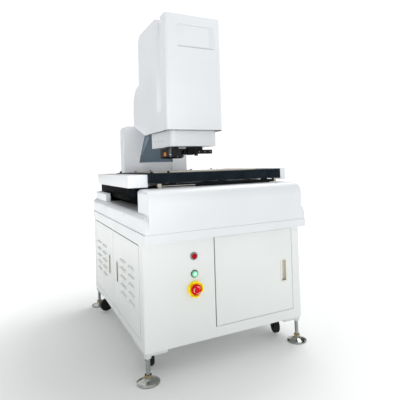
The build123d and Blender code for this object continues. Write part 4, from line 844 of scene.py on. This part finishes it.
def window_sill(work):
    """The sloping sill of the recess, mitred against the sloping right side."""
    left, right, slope = -0.080, 0.107, 0.025
    front = front_low[1]
    back = front + 0.008
    edge = 1.328
    top = edge + 0.006
    under = edge - 0.001
    points = [(left, front, edge), (left, back, top), (left, back, under), (left, front, under),
              (right, front, edge), (right - slope, back, top), (right - slope, back, under),
              (right, front, under)]
    verts = [work.verts.new(point) for point in points]
    for loop in ((0, 1, 5, 4), (1, 2, 6, 5), (2, 3, 7, 6), (3, 0, 4, 7), (3, 2, 1, 0), (4, 5, 6, 7)):
        work.faces.new([verts[index] for index in loop])


front_piece = piece_from("front_cover_shell", front_shell, white_cover, "machine",
                         turn_out=False)
rear_piece = piece_from("rear_cover_shell", rear_shell, white_cover, "machine",
                        turn_out=False)
piece_from("cover_groove", groove, white_cover, "machine")
piece_from("window_sill", window_sill, white_cover, "machine")
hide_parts("front_head_cover")
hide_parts("rear_head_cover")


def scale_painted_glints(work):
    """Two bright strips on the left part of the scale's housing: a painted reflection, the edges shown bright
    only where they catch light at the left.
    """
    for z in (706.0, 699.5):
        rounded_plate(work, 152.0, 2.0, 0.8, 0.9, frame_at(mm(-184.0, 62.2, z), outward), 0.2)


piece_from("scale_painted_glints", scale_painted_glints, brushed, "stage")


# Floor, world and lights
floor_mesh = bpy.data.meshes.new("floor")
floor_mesh.from_pydata([(-30, -30, 0), (30, -30, 0), (30, 30, 0), (-30, 30, 0)], [], [(0, 1, 2, 3)])
floor = bpy.data.objects.new("floor", floor_mesh)
floor.location.z = -0.0005
bpy.context.scene.collection.objects.link(floor)
floor_material, floor_tree, floor_shader = new_material("floor_white")
floor_tone = blend_colours(floor_tree, noise(floor_tree, 0.8), (0.76, 0.765, 0.765), (0.79, 0.79, 0.79))
floor_tree.links.new(floor_tone, floor_shader.inputs["Base Color"])
floor_shader.inputs["Roughness"].default_value = 0.8
floor_shader.inputs["Specular IOR Level"].default_value = 0.1
# The floor glows weakly within 0.7 m of the origin and fully beyond 2.4 m: painted light that keeps the far
# floor white, and painted shade round the machine.
floor_shader.inputs["Emission Color"].default_value = (1.0, 1.0, 1.0, 1.0)
floor_place = node(floor_tree, "ShaderNodeTexCoord")
floor_reach = node(floor_tree, "ShaderNodeVectorMath", operation="LENGTH")
floor_tree.links.new(floor_place.outputs["Object"], floor_reach.inputs[0])
floor_glow_painted_shade = to_range(floor_tree, floor_reach.outputs["Value"], 0.08, 0.8, 0.7, 2.4)
floor_tree.links.new(floor_glow_painted_shade, floor_shader.inputs["Emission Strength"])
floor_mesh.materials.append(floor_material)

world = bpy.data.worlds.new("studio")
bpy.context.scene.world = world
world.use_nodes = True
world_tree = world.node_tree
background = world_tree.nodes["Background"]
output = world_tree.nodes["World Output"]
place = world_tree.nodes.new("ShaderNodeTexCoord")
lean = world_tree.nodes.new("ShaderNodeVectorMath")
lean.operation = "DOT_PRODUCT"
lean.inputs[1].default_value = (0.52, -0.58, 0.60)
level_range = world_tree.nodes.new("ShaderNodeMapRange")
level_range.inputs["From Min"].default_value = -1.0
level_range.inputs["From Max"].default_value = 1.0
level_range.inputs["To Min"].default_value = 0.31
level_range.inputs["To Max"].default_value = 0.97
world_tree.links.new(place.outputs["Generated"], lean.inputs[0])
world_tree.links.new(lean.outputs["Value"], level_range.inputs["Value"])
background.inputs["Color"].default_value = (0.97, 1.0, 0.99, 1.0)
world_tree.links.new(level_range.outputs["Result"], background.inputs["Strength"])
seen = world_tree.nodes.new("ShaderNodeBackground")
seen.inputs["Color"].default_value = (1.0, 1.0, 1.0, 1.0)
seen.inputs["Strength"].default_value = 1.05
path = world_tree.nodes.new("ShaderNodeLightPath")
streaks = world_tree.nodes.new("ShaderNodeTexNoise")
streaks.inputs["Scale"].default_value = 2.2
streaks.inputs["Detail"].default_value = 1.0
world_tree.links.new(place.outputs["Generated"], streaks.inputs["Vector"])
streak_ramp = world_tree.nodes.new("ShaderNodeValToRGB")
streak_ramp.color_ramp.elements[0].position = 0.44
streak_ramp.color_ramp.elements[0].color = (0.06, 0.066, 0.066, 1.0)
streak_ramp.color_ramp.elements[1].position = 0.54
streak_ramp.color_ramp.elements[1].color = (1.0, 1.0, 1.0, 1.0)
world_tree.links.new(streaks.outputs["Fac"], streak_ramp.inputs["Fac"])
mirrored = world_tree.nodes.new("ShaderNodeBackground")
mirrored.inputs["Strength"].default_value = 0.95
world_tree.links.new(streak_ramp.outputs["Color"], mirrored.inputs["Color"])
shine = world_tree.nodes.new("ShaderNodeMixShader")
choose = world_tree.nodes.new("ShaderNodeMixShader")
world_tree.links.new(path.outputs["Is Camera Ray"], choose.inputs["Fac"])
world_tree.links.new(path.outputs["Is Glossy Ray"], shine.inputs["Fac"])
world_tree.links.new(background.outputs["Background"], shine.inputs[1])
world_tree.links.new(mirrored.outputs["Background"], shine.inputs[2])
world_tree.links.new(shine.outputs["Shader"], choose.inputs[1])
world_tree.links.new(seen.outputs["Background"], choose.inputs[2])
world_tree.links.new(choose.outputs["Shader"], output.inputs["Surface"])


def aimed_light(name, kind, place, target, power):
    """A light of one kind that shines from a place at a target; its data comes back."""
    data = bpy.data.lights.new(name, kind)
    data.energy = power
    light = bpy.data.objects.new(name, data)
    light.location = place
    light.rotation_euler = (Vector(target) - Vector(place)).to_track_quat("-Z", "Y").to_euler()
    bpy.context.scene.collection.objects.link(light)
    return data


key = aimed_light("key_light", "AREA", (1.3, 0.9, 3.2), (0.0, 0.0, 0.4), 54.0)
key.shape = "RECTANGLE"
key.size = 2.0
key.size_y = 2.0

# Fills the shade under the head
fill = aimed_light("fill_light", "SPOT", (-1.9, -2.6, 0.75), (-0.02, 0.42, 0.86), 230.0)
fill.spot_size = math.radians(15.0)
fill.spot_blend = 1.0
fill.shadow_soft_size = 0.35

bpy.context.scene.view_settings.view_transform = "Standard"
